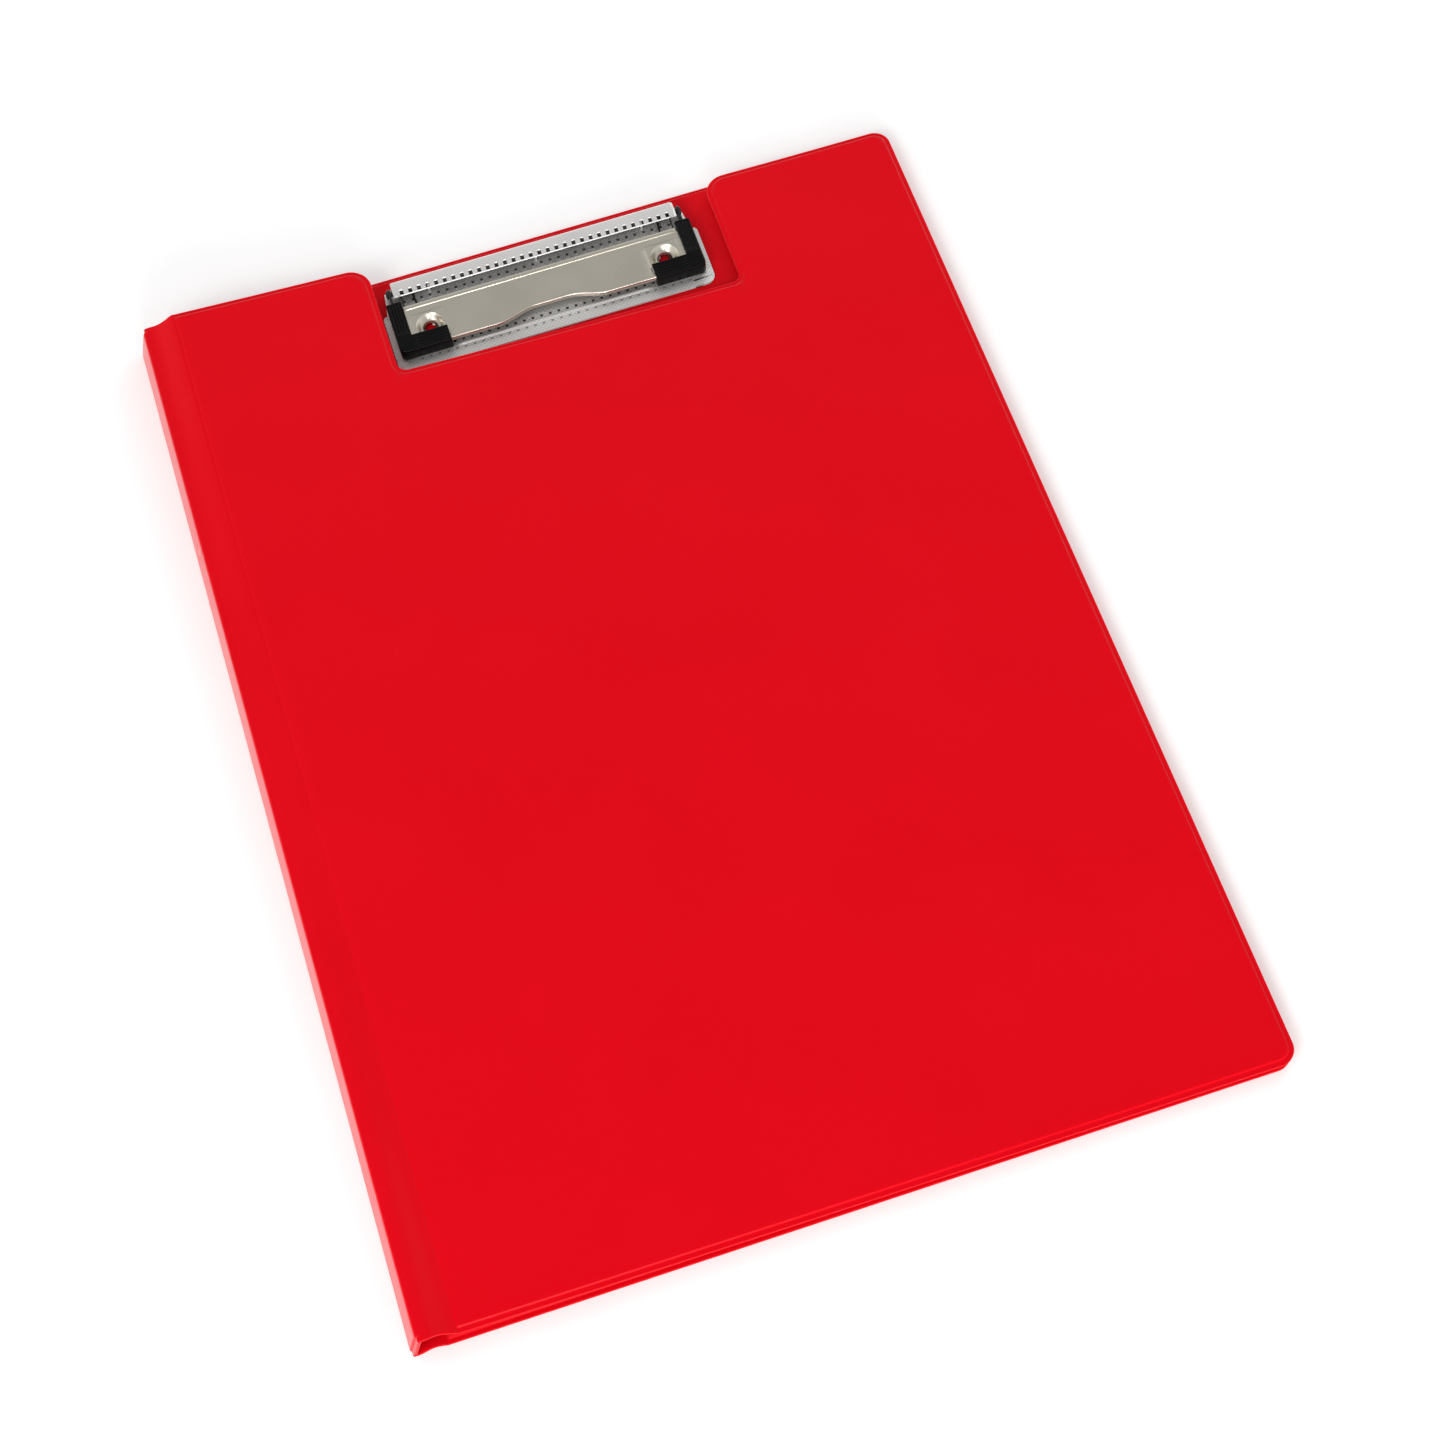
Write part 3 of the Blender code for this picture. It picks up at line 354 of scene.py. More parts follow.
def film_grids(face, side, lining, start, right, notch, holes=()):
    """Both faces of one film, as grids of points from the middle of the spine to the free edge.

    A column is a place across the folder and a row a place along it. On the spine and round
    the fold a column stands on a curve; on the panel it has its place across and the height
    of the panel's face. Each face lies half a film from the film's middle, and that half
    runs out in a quarter circle at the outline, so the two faces meet there.
    """
    crease = start + FLAP_WIDTH
    tuck = WELD_DROP - TUCK_SLACK
    sign = -1.0 if lining else 1.0
    sense = 1.0 if side > 0 else -1.0
    middle = strip / 2
    end = strip - HINGE_GAP if side > 0 else HINGE_GAP
    s = np.linspace(middle, end, SPINE_COLUMNS)
    room = np.minimum(s, strip - s) - HINGE_GAP
    offset = FOLD_OFFSET + (SPINE_OFFSET - FOLD_OFFSET) * ease(room / SPINE_RISE)
    line = foot + s[:, None] * strip_along + sign * offset[:, None] * strip_out
    flap_mid = FILM / 2 if not lining else FILM * 1.5 + LAYER_GAP
    flap_z = face(np.array(start), np.array(0.0), start, crease, right) - side * flap_mid
    goal = np.array([start, float(flap_z)])
    gap = float(np.linalg.norm(goal - line[-1]))
    curve = bend(
        line[-1], sense * strip_along, goal, np.array([1.0, 0.0]), FOLD_PULL * gap, FOLD_STEPS)
    path = np.concatenate((line[:-1], curve[:-1]))
    step = np.gradient(np.concatenate((line[:-1], curve)), axis=0)[:-1]
    step /= np.linalg.norm(step, axis=1)[:, None]
    outward = side * np.stack((-step[:, 1], step[:, 0]), -1)
    pull = np.concatenate((
        offset[:-1], np.linspace(offset[-1], WELD_OFFSET, FOLD_STEPS + 1)[:-1])) - WELD_OFFSET

    def surface(x, y, z_side):
        """Points of one face on the panel, from its height, the welds and the distance in."""
        d = rim_distance(x, y, right, crease, notch)
        inside = past_weld(d)
        rise = ease((x - crease + CREASE_STEP) / CREASE_STEP)
        if lining:
            depth = FILM * 1.5 + LAYER_GAP + rise * (tuck + (BOARD + LAYER_GAP - tuck) * inside)
        else:
            groove = CREASE_DEPTH * np.exp(-((x - crease + CREASE_BACK) / CREASE_WIDTH) ** 2)
            press = np.hypot(x - crease - PRESS_ACROSS, np.abs(y) - far + PRESS_ALONG) / PRESS_RADIUS
            depth = FILM / 2 + WELD_DROP * rise * (1 - inside) + groove
            depth = depth - CORNER_PRESS * np.exp(-press ** 2)
        z = face(x, y, start, crease, right) - side * depth + z_side * rounded_half(d)
        return np.stack(np.broadcast_arrays(x, y, z), -1)

    def folded(y, z_side):
        """Points of one face on the spine and round the fold."""
        d = np.maximum(far - np.abs(y), 0.0)
        shift = z_side * side * rounded_half(d) - sign * pull[:, None] * (1 - past_weld(d))
        x = path[:, 0:1] + outward[:, 0:1] * shift
        z = path[:, 1:2] + outward[:, 1:2] * shift
        return np.stack(np.broadcast_arrays(x, y, z), -1)

    flap = np.concatenate((
        spread(start, crease - CREASE_REACH, FLAP_STEP)[:-1],
        spread(crease - CREASE_REACH, crease + 1, CREASE_FINE)))
    edge = right - in_from_edge(PANEL_RADIUS)[::-1]
    if notch:
        wall = notch_half + in_from_edge(MOUTH_RADIUS)
        inner = notch_half - in_from_edge(NOTCH_RADIUS)[::-1]
        left_part = np.concatenate((flap[:-1], spread(flap[-1], notch_x - wall[-1], COLUMN_STEP),
                                    (notch_x - wall[::-1])[1:]))
        middle_part = np.concatenate((notch_x - inner[::-1], spread(
            notch_x - inner[0], notch_x + inner[0], COLUMN_STEP)[1:-1], notch_x + inner))
        right_part = np.concatenate((notch_x + wall, spread(
            notch_x + wall[-1], edge[0], COLUMN_STEP)[1:-1], edge))
        parts = [(left_part, False), (middle_part, True), (right_part, False)]
    else:
        lines = spread(flap[-1], edge[0], COLUMN_STEP)[1:-1]
        lines = np.concatenate([lines] + [hole[0] + hole_cells(hole[2]) for hole in holes])
        lines = np.unique(lines.round(4))
        for hole in holes:
            aside = np.abs(lines - hole[0])
            close = (aside > hole[2] + SAME) & (aside < hole[2] + HOLE_CLEAR)
            inside = aside < hole[2] + SAME
            wanted = np.isin(lines, (hole[0] + hole_cells(hole[2])).round(4))
            lines = lines[~close & (~inside | wanted)]
        parts = [(np.concatenate((flap, lines, edge)), False)]
    grids = []
    for number, (columns, short) in enumerate(parts):
        low = near + bow(columns, right, PANEL_RADIUS) + flap_dip(columns, crease)
        high = far - bow(columns, right, PANEL_RADIUS) - flap_dip(columns, crease)
        if notch:
            beside = notch_half + MOUTH_RADIUS - np.abs(columns - notch_x)
            high = high - bow(beside, MOUTH_RADIUS, MOUTH_RADIUS) * (beside > 0) * (not short)
        rim_floor = notch_floor + NOTCH_RADIUS
        steady = spread(near + ROW_MARGIN, rim_floor - NOTCH_ROW_MARGIN, ROW_STEP)
        if short:
            from_wall = notch_half - np.abs(columns - notch_x)
            high = notch_floor + bow(NOTCH_RADIUS - from_wall, NOTCH_RADIUS, NOTCH_RADIUS)
            fixed = steady
        elif notch:
            fixed = np.concatenate((steady, rim_floor - RIM[::-1],
                                    spread(rim_floor, far - MOUTH_ROW_MARGIN, ROW_STEP)[1:]))
        else:
            fixed = spread(near + ROW_MARGIN, far - ROW_MARGIN, ROW_STEP)
            for hole in holes:
                cells = hole[1] + hole_cells(hole[2])
                fixed = fixed[np.abs(fixed - hole[1]) > hole[2] + HOLE_CLEAR]
                fixed = np.unique(np.concatenate((fixed, cells)).round(4))
        count = len(columns)
        rows = np.concatenate((
            low[:, None] + RIM, np.repeat(fixed[None], count, 0), high[:, None] - RIM[::-1]), 1)
        x = np.repeat(columns[:, None], rows.shape[1], 1)
        skip = None
        if holes:
            mid_x = (x[:-1, :-1] + x[1:, 1:]) / 2
            mid_y = (rows[:-1, :-1] + rows[1:, 1:]) / 2
            skip = np.zeros(mid_x.shape, bool)
            for hole in holes:
                skip |= (np.abs(mid_x - hole[0]) < hole[2]) & (np.abs(mid_y - hole[1]) < hole[2])
        faces = [surface(x, rows, z_side) for z_side in (side, -side)]
        if number == 0:
            strip_rows = np.repeat(rows[:1], len(path), 0)
            strip_rows[:, :len(RIM)] = near + RIM
            strip_rows[:, -len(RIM):] = far - RIM[::-1]
            bands = [folded(strip_rows, z_side) for z_side in (side, -side)]
            faces = [np.concatenate(pair) for pair in zip(bands, faces)]
            if skip is not None:
                skip = np.concatenate((np.zeros((len(path), skip.shape[1]), bool), skip))
            grids.append((np.stack((faces[0][0], faces[1][0])), None))
        grids += [(points, skip) for points in faces]
    for hole in holes:
        square = square_ring(hole[2])
        rings = [square, square * 0.5 + round_ring(square, hole[3] + 0.4) * 0.5]
        rings += [round_ring(square, hole[3] + extra) for extra in (0.4, 0.22, 0.1, 0.03, 0.0)]
        rings = np.array(rings) + np.array(hole[:2])
        reach = np.hypot(rings[..., 0] - hole[0], rings[..., 1] - hole[1]) - hole[3]
        for z_side in (side, -side):
            points = surface(rings[..., 0], rings[..., 1], z_side)
            points[..., 2] += z_side * (rounded_half(reach) - FILM / 2)
            grids.append((points, None))
    return grids


def hole_cells(half):
    """Offsets of the grid lines that cross a square patch round a hole."""
    return np.linspace(-half, half, HOLE_CELLS + 1)


def square_ring(half):
    """Points round a square patch, on the grid lines that meet it; the first comes last again."""
    cells = hole_cells(half)
    low, high = np.full(HOLE_CELLS, -half), np.full(HOLE_CELLS, half)
    sides = [(cells[:-1], low), (high, cells[:-1]), (cells[:0:-1], high), (low, cells[:0:-1])]
    ring = np.concatenate([np.stack(pair, -1) for pair in sides])
    return np.concatenate((ring, ring[:1]))


def round_ring(ring, radius):
    """The same points drawn in along their own rays to a circle."""
    return ring / np.linalg.norm(ring, axis=-1, keepdims=True) * radius


def grid_quads(count_u, count_v, first, skip):
    """Corner numbers of a grid's quads, the cells of skip left out."""
    u, v = np.meshgrid(np.arange(count_u - 1), np.arange(count_v - 1), indexing="ij")
    corner = first + u * count_v + v
    if skip is not None:
        corner = corner[~skip]
    corner = corner.reshape(-1)
    return np.stack((corner, corner + count_v, corner + count_v + 1, corner + 1), -1)


def build(name, grids, material, closed=True, sharp=40.0, caps=()):
    """One piece from grids of points in millimetres; edges that touch are merged.

    Closed pieces have their faces turned outwards. caps are loops of points that are filled.
    """
    points, quads, first = [], [], 0
    for grid, skip in grids:
        points.append(grid.reshape(-1, 3))
        quads.append(grid_quads(grid.shape[0], grid.shape[1], first, skip))
        first += grid.shape[0] * grid.shape[1]
    used, quads = np.unique(np.concatenate(quads), return_inverse=True)
    points = [np.concatenate(points)[used]]
    faces = quads.reshape(-1, 4).tolist()
    first = len(used)
    for cap in caps:
        points.append(cap)
        faces.append(list(range(first, first + len(cap))))
        first += len(cap)
    mesh = bpy.data.meshes.new(name)
    mesh.from_pydata((np.concatenate(points) * MM).tolist(), [], faces)
    work = bmesh.new()
    work.from_mesh(mesh)
    bmesh.ops.remove_doubles(work, verts=work.verts, dist=1e-6)
    bmesh.ops.dissolve_degenerate(work, dist=1e-7, edges=work.edges)
    if closed:
        bmesh.ops.recalc_face_normals(work, faces=work.faces)
    work.to_mesh(mesh)
    work.free()
    mesh.shade_smooth()
    mesh.set_sharp_from_angle(angle=math.radians(sharp))
    mesh.materials.append(material)
    item = bpy.data.objects.new(name, mesh)
    bpy.context.scene.collection.objects.link(item)
    return item


def math_node(tree, operation, first, second):
    """Output socket of one sum on two values or sockets."""
    made = node(tree, "ShaderNodeMath", operation=operation)
    for socket, value in zip(made.inputs, (first, second)):
        if isinstance(value, bpy.types.NodeSocket):
            tree.links.new(value, socket)
        else:
            socket.default_value = value
    return made.outputs[0]


# Fine pebbled grain of calendered film, with a slow cloud that varies gloss and colour.
film_grain, given, result = shader_group(
    "film_grain", (("Grain per metre", 2400.0), ("Cloud per metre", 22.0)), ("Height", "Cloud"))
where = node(film_grain, "ShaderNodeTexCoord").outputs["Object"]
pebbles = node(film_grain, "ShaderNodeTexVoronoi", {
    "Vector": where, "Scale": given.outputs["Grain per metre"]}, feature="SMOOTH_F1")
specks = node(film_grain, "ShaderNodeTexNoise", {
    "Vector": where, "Scale": given.outputs["Grain per metre"], "Detail": 3.0})
cloud = node(film_grain, "ShaderNodeTexNoise", {
    "Vector": where, "Scale": given.outputs["Cloud per metre"], "Detail": 4.0, "Roughness": 0.6})
height = math_node(film_grain, "ADD", pebbles.outputs["Distance"],
                   math_node(film_grain, "MULTIPLY", specks.outputs["Fac"], 0.6))
film_grain.links.new(height, result.inputs["Height"])
film_grain.links.new(cloud.outputs["Fac"], result.inputs["Cloud"])


def vary_gloss(tree, shader, mask, low, high):
    """Roughness that goes from low to high as the mask goes from 0.3 to 0.7."""
    gloss = node(tree, "ShaderNodeMapRange", {
        "Value": mask, "From Min": 0.3, "From Max": 0.7, "To Min": low, "To Max": high})
    tree.links.new(gloss.outputs["Result"], shader.inputs["Roughness"])


def raise_relief(tree, shader, height, strength, depth):
    """Bump from a height, its depth in millimetres."""
    relief = node(tree, "ShaderNodeBump", {
        "Height": height, "Strength": strength, "Distance": depth * MM})
    tree.links.new(relief.outputs["Normal"], shader.inputs["Normal"])


def film_material(name, dark, light, roughness, bump):
    """Coloured PVC film: the cloud leads from the dark to the light tone and varies the gloss."""
    material, tree, shader = start_material(name, roughness, specular=0.06)
    shader.inputs["Sheen Weight"].default_value = 0.34
    shader.inputs["Sheen Roughness"].default_value = 0.35
    grain = place_group(tree, film_grain, {"Grain per metre": 2400.0, "Cloud per metre": 22.0})
    tint(tree, shader, grain.outputs["Cloud"], dark, light)
    vary_gloss(tree, shader, grain.outputs["Cloud"], roughness - 0.04, roughness + 0.05)
    raise_relief(tree, shader, grain.outputs["Height"], bump, 0.03)
    return material


red_film = film_material("red_film", (0.73, 0.0001, 0.0060), (0.78, 0.0002, 0.0080), 0.23, 0.07)
cover_start = float(cover_box[0][0])
cover_right = float(cover_box[1][0])
cover_skin = build("cover_skin", film_grids(
    cover_face, 1.0, False, cover_start, cover_right, True), red_film)
fold_way = np.array([strip_along[0] + 1.0, strip_along[1]])
fold_way /= np.linalg.norm(fold_way)


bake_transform(cover_skin)
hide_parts("cover_outer_film")


# Cover lining: the film on the cover's inner side. It is welded to the skin round the edge,
# steps up to it at the flap and runs on over the inside of the fold.
red_lining = film_material("red_lining", (0.70, 0.0004, 0.0060), (0.76, 0.0008, 0.0080), 0.36, 0.15)
cover_lining = build("cover_lining", film_grids(
    cover_face, 1.0, True, cover_start, cover_right, True), red_lining)
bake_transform(cover_lining)
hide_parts("cover_inner_film")


# Back skin: the same film under the back panel, run round the foot fold and up the spine to
# meet the cover's skin half way.
back_start = float(back_box[0][0])
back_right = float(back_box[1][0])
back_skin = build("back_skin", film_grids(
    back_face, -1.0, False, back_start, back_right, False), red_film)
foot_way = np.array([-1.0, 0.0]) + strip_along
foot_way /= np.linalg.norm(foot_way)
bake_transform(back_skin)
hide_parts("back_outer_film", "spine_outer_film")


# Back lining: the film that the sheets lie on, welded to the back skin round the edge and with a
# round hole for each of the clip's rivets.
RIVET_BORE = 1.45
RIVET_BARREL = 2.2
RIVET_FLANGE = 3.0
RIVET_SHEET = 0.25
PATCH_HALF = 4.0
rivet_box = {side: box_of("rivet_" + side) for side in ("left", "right")}
rivet_places = {side: (low + high) / 2 for side, (low, high) in rivet_box.items()}
rivet_holes = [(round(float(p[0]), 3), round(float(p[1]), 3), PATCH_HALF, RIVET_BARREL + 0.15)
               for p in rivet_places.values()]
back_lining = build("back_lining", film_grids(
    back_face, -1.0, True, back_start, back_right, False, rivet_holes), red_lining)
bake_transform(back_lining)
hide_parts("back_inner_film", "spine_inner_film")


# Boards: grey recycled board for the cover, the spine and the back, cut to size and sealed between
# the films. They keep their own solids, with a fibrous finish.
greyboard, tree, shader = start_material("greyboard", 0.92, specular=0.2)
fibres = place_spots(tree, 900.0, 5.0)
tint(tree, shader, fibres, (0.24, 0.22, 0.19), (0.42, 0.39, 0.34))
raise_relief(tree, shader, fibres, 0.5, 0.08)
for board in ("back_stiffener", "spine_stiffener", "cover_stiffener"):
    for holder in frame["nodes"][board].material_slots:
        holder.material = greyboard


# Clip base plate: one blank of embossed nickel-plated sheet. Its rear edge is folded up and
# over into a hood for the hinge rod. Square teeth are punched through the hood and pressed into
# the plate in rows.
SHEET = 0.6
HOLE_SIDE = 1.2
HOLE_PITCH = 2.7
HOLE_MARGIN = 1.2
DENT_EDGE = 0.10
DENT_DEPTH = 0.22
GRIP_DEPTH = 0.42
BASE_WIDTH = 98.9
NECK_WIDTH = 94.1
NECK_DEPTH = 8.8
HOOD_WIDTH = 89.0
FRONT_RADIUS = 3.3
SHOULDER_RADIUS = 1.5
REAR_RADIUS = 2.2
FOOT_BEND = 0.8
HOOD_BEND = 1.1
HOOD_REACH = 5.6
HOOD_DROP = 0.5
HOOD_FLAT = 2.6
GRIP_ROW = 6.0
BEAD_ROW = 4.5
FRONT_DENTS = 3.3
REAR_DENTS = 25.0
BEAD_WIDTH = 1.2
BEAD_HEIGHT = 0.35
BEAD_HALF = 29.6
BEAD_END = 0.8
PLATE_STEP = 2.2
HOOD_HOLE_FROM_LIP = 0.95
HOOD_HOLE_HALF = 0.8
HOOD_EMBOSS = 0.35
LUG_PITCH = 33.55
LUG_RADIUS = 1.35
base_low, base_high = box_of("clip_base_plate")
plate_low = float(base_low[2])
base_front, base_rear = float(base_low[1]), float(base_high[1])
hood_top = float(base_high[2])
plate_mid = plate_low + SHEET / 2


def half_width(y):
    """Half of the base plate's width at y: round front corners, a shoulder, round rear ones."""
    half = BASE_WIDTH / 2
    shoulder = base_rear - NECK_DEPTH
    front = half - bow(base_front - y, 0.0, FRONT_RADIUS)
    step = bow(y, shoulder, SHOULDER_RADIUS)
    neck = half - SHOULDER_RADIUS - (y - shoulder) / (NECK_DEPTH - REAR_RADIUS) * (
        half - SHOULDER_RADIUS - NECK_WIDTH / 2)
    rear = np.maximum(neck, NECK_WIDTH / 2) - bow(y, base_rear, REAR_RADIUS)
    return np.where(y > shoulder + 1e-6, rear, np.minimum(front, half - step))


def punched_lines(span):
    """Offsets of the lines on either side of each square hole in a row, and of its dent."""
    count = int((span - 2 * HOLE_MARGIN - HOLE_SIDE) / HOLE_PITCH)
    centres = (np.arange(count + 1) - count / 2) * HOLE_PITCH
    half = HOLE_SIDE / 2
    return centres, np.sort(np.concatenate(
        [centres + d for d in (-half, DENT_EDGE - half, half - DENT_EDGE, half)]))


def base_plate_grids():
    """The sheet's middle as a grid: across the clip, and along its path from front to lip."""
    centres, lines = punched_lines(HOOD_WIDTH)
    corner = FRONT_RADIUS * (1 - np.cos(np.radians(np.arange(0, 91, 11.25))))
    half_hole = HOLE_SIDE / 2
    dent = np.array([-half_hole, DENT_EDGE - half_hole, half_hole - DENT_EDGE, half_hole])
    rows = [base_front + corner]
    rows += [base_front + row + dent for row in (FRONT_DENTS, GRIP_ROW, REAR_DENTS)]
    rows.append(base_front + BEAD_ROW + np.linspace(-BEAD_WIDTH / 2, BEAD_WIDTH / 2, 9))
    shoulder = base_rear - NECK_DEPTH
    rows.append(spread(base_front + GRIP_ROW + 1.2, shoulder - SHOULDER_RADIUS, PLATE_STEP))
    rows.append(shoulder - SHOULDER_RADIUS * np.cos(np.radians(np.arange(0, 91, 15))))
    rows.append(np.array([shoulder + 0.02]))
    rows.append(base_rear - REAR_RADIUS * (1 - np.sin(np.radians(np.arange(0, 61, 15)))))
    y = np.unique(np.concatenate(rows).round(3))
    y = y[y < base_rear - SHEET / 2 - FOOT_BEND + 1e-6]
    y = y[np.concatenate(([True], np.diff(y) > 0.015))]
    flat_half = half_width(y)
    z = np.full(len(y), plate_mid)
    up = base_rear - SHEET / 2
    angle = np.radians(np.arange(0, 91, 15))
    foot_y = up - FOOT_BEND + FOOT_BEND * np.sin(angle)
    foot_z = plate_mid + FOOT_BEND - FOOT_BEND * np.cos(angle)
    crown = hood_top - SHEET / 2
    bend_y = up - HOOD_BEND + HOOD_BEND * np.cos(angle)
    bend_z = crown - HOOD_BEND + HOOD_BEND * np.sin(angle)
    lip_y = base_rear - HOOD_REACH
    row_y = lip_y + HOOD_HOLE_FROM_LIP
    flat_y = up - HOOD_FLAT + np.array([0.3, 0.0, -0.3])
    slope_y = np.array([row_y + HOOD_HOLE_HALF, row_y - HOOD_HOLE_HALF, lip_y])
    slope_z = crown - HOOD_DROP * (up - HOOD_FLAT - slope_y) / (up - HOOD_FLAT - lip_y)
    path_y = np.concatenate((y, foot_y, bend_y, flat_y, slope_y))
    path_z = np.concatenate((z, foot_z, bend_z, [crown, crown - 0.02, crown - 0.09], slope_z))
    hood = np.full(len(path_y) - len(y), HOOD_WIDTH / 2)
    hood[:len(foot_y)] = np.linspace(flat_half[-1], HOOD_WIDTH / 2, len(foot_y))
    half = np.concatenate((flat_half, hood))
    side = np.array([1.0, 0.6, 0.25, 0.0])
    edge = lines[-1] + 0.3
    outer = edge + (half[None] - edge) * (1 - side[::-1, None])
    inner = np.repeat(lines[:, None], len(half), 1)
    across = np.concatenate((-outer[::-1], inner, outer))
    y_grid = np.repeat(path_y[None], len(across), 0)
    z_grid = np.repeat(path_z[None], len(across), 0)
    on_flat = np.arange(len(path_y)) < len(y)
    bead = np.clip(1 - ((y_grid - base_front - BEAD_ROW) / (BEAD_WIDTH / 2)) ** 2, 0, 1) ** 0.7
    z_grid = z_grid + on_flat * BEAD_HEIGHT * bead * ease((BEAD_HALF - np.abs(across)) / BEAD_END)
    near_hole = np.min(np.abs(across[..., None] - centres), axis=-1) < half_hole - DENT_EDGE + 1e-3
    for row, deep in ((FRONT_DENTS, DENT_DEPTH), (GRIP_ROW, GRIP_DEPTH), (REAR_DENTS, DENT_DEPTH)):
        in_row = np.abs(y_grid - base_front - row) < half_hole - DENT_EDGE + 1e-3
        z_grid = z_grid - deep * (near_hole & in_row & on_flat)
    points = np.stack((across + clip_x, y_grid, z_grid), -1)
    mid = (points[:-1, :-1] + points[1:, 1:]) / 2
    cell = np.min(np.abs(mid[..., 0:1] - clip_x - centres), axis=-1) < half_hole
    lip = (np.abs(mid[..., 1] - row_y) < HOOD_HOLE_HALF) & (mid[..., 2] > hood_top - 2.0)
    skip = cell & lip
    mid_flat = mid[..., 2] < plate_mid + 0.4
    for hole in rivet_holes:
        skip |= mid_flat & (np.hypot(mid[..., 0] - hole[0], mid[..., 1] - hole[1]) < hole[3])
    pin_y, pin_z = float(joint_place["clip_lift"][1]), float(joint_place["clip_lift"][2])
    lug_y = LUG_RADIUS * np.sin(np.radians(np.arange(-90, 91, 15)))
    lug_top = pin_z + np.sqrt(LUG_RADIUS ** 2 - lug_y ** 2)
    share = np.linspace(0, 1, 3)
    lug_z = plate_mid * (1 - share) + lug_top[:, None] * share
    lug_y = np.repeat(lug_y[:, None] + pin_y, 3, 1)
    lugs = [(np.stack((np.full(lug_z.shape, clip_x + place * LUG_PITCH), lug_y, lug_z), -1), None)
            for place in (-1, 0, 1)]
    return [(points, skip)] + lugs


def mark_dent_shade(item):
    """Writes an attribute of painted shade: 1 on the floors of the deep dents, less on shallow ones,
    else 0.
    """
    mesh = item.data
    place = np.empty(len(mesh.vertices) * 3, np.float32)
    mesh.vertices.foreach_get("co", place)
    place = place.reshape(-1, 3) / MM
    centres = punched_lines(HOOD_WIDTH)[0]
    aside = np.min(np.abs(place[:, 0:1] - clip_x - centres), axis=1)
    depth = np.zeros(len(place), np.float32)
    half = HOLE_SIDE / 2 - DENT_EDGE + 0.01
    for row, tone in ((FRONT_DENTS, 0.5), (GRIP_ROW, 1.0), (REAR_DENTS, 0.9)):
        inside = (aside < half) & (np.abs(place[:, 1] - base_front - row) < half)
        depth = np.where(inside & (place[:, 2] < plate_mid + 0.2), tone, depth)
    layer = mesh.attributes.new("dent_shade", "FLOAT", "POINT")
    layer.data.foreach_set("value", depth.astype(np.float32))


def finish_sheet(item, thickness, offset, edge):
    """Gives a sheet its thickness and a slightly rounded edge."""
    wall = item.modifiers.new("sheet", "SOLIDIFY")
    wall.thickness = thickness * MM
    wall.offset = offset
    rounding = item.modifiers.new("edge", "BEVEL")
    rounding.width = edge * MM
    rounding.segments = 2
    rounding.limit_method = "ANGLE"
    rounding.angle_limit = math.radians(50.0)


# Diamond emboss: two crossed waves at 45 degrees, rolled into the strip before it is cut.
diamond_emboss, given, result = shader_group(
    "diamond_emboss", (("Diamonds per metre", 900.0), ("Wear per metre", 60.0)), ("Height", "Wear"))
where = node(diamond_emboss, "ShaderNodeTexCoord").outputs["Object"]
place = node(diamond_emboss, "ShaderNodeSeparateXYZ", {"Vector": where})
rate = math_node(diamond_emboss, "MULTIPLY", given.outputs["Diamonds per metre"], math.pi)
run = math_node(diamond_emboss, "ADD", place.outputs["Y"], place.outputs["Z"])
waves = []
for operation in ("ADD", "SUBTRACT"):
    diagonal = math_node(diamond_emboss, operation, place.outputs["X"], run)
    angle = math_node(diamond_emboss, "MULTIPLY", diagonal, rate)
    waves.append(math_node(diamond_emboss, "ABSOLUTE", math_node(
        diamond_emboss, "SINE", angle, 0.0), 0.0))
emboss = math_node(diamond_emboss, "MINIMUM", waves[0], waves[1])
wear = node(diamond_emboss, "ShaderNodeTexNoise", {
    "Vector": where, "Scale": given.outputs["Wear per metre"], "Detail": 5.0})
diamond_emboss.links.new(emboss, result.inputs["Height"])
diamond_emboss.links.new(wear.outputs["Fac"], result.inputs["Wear"])


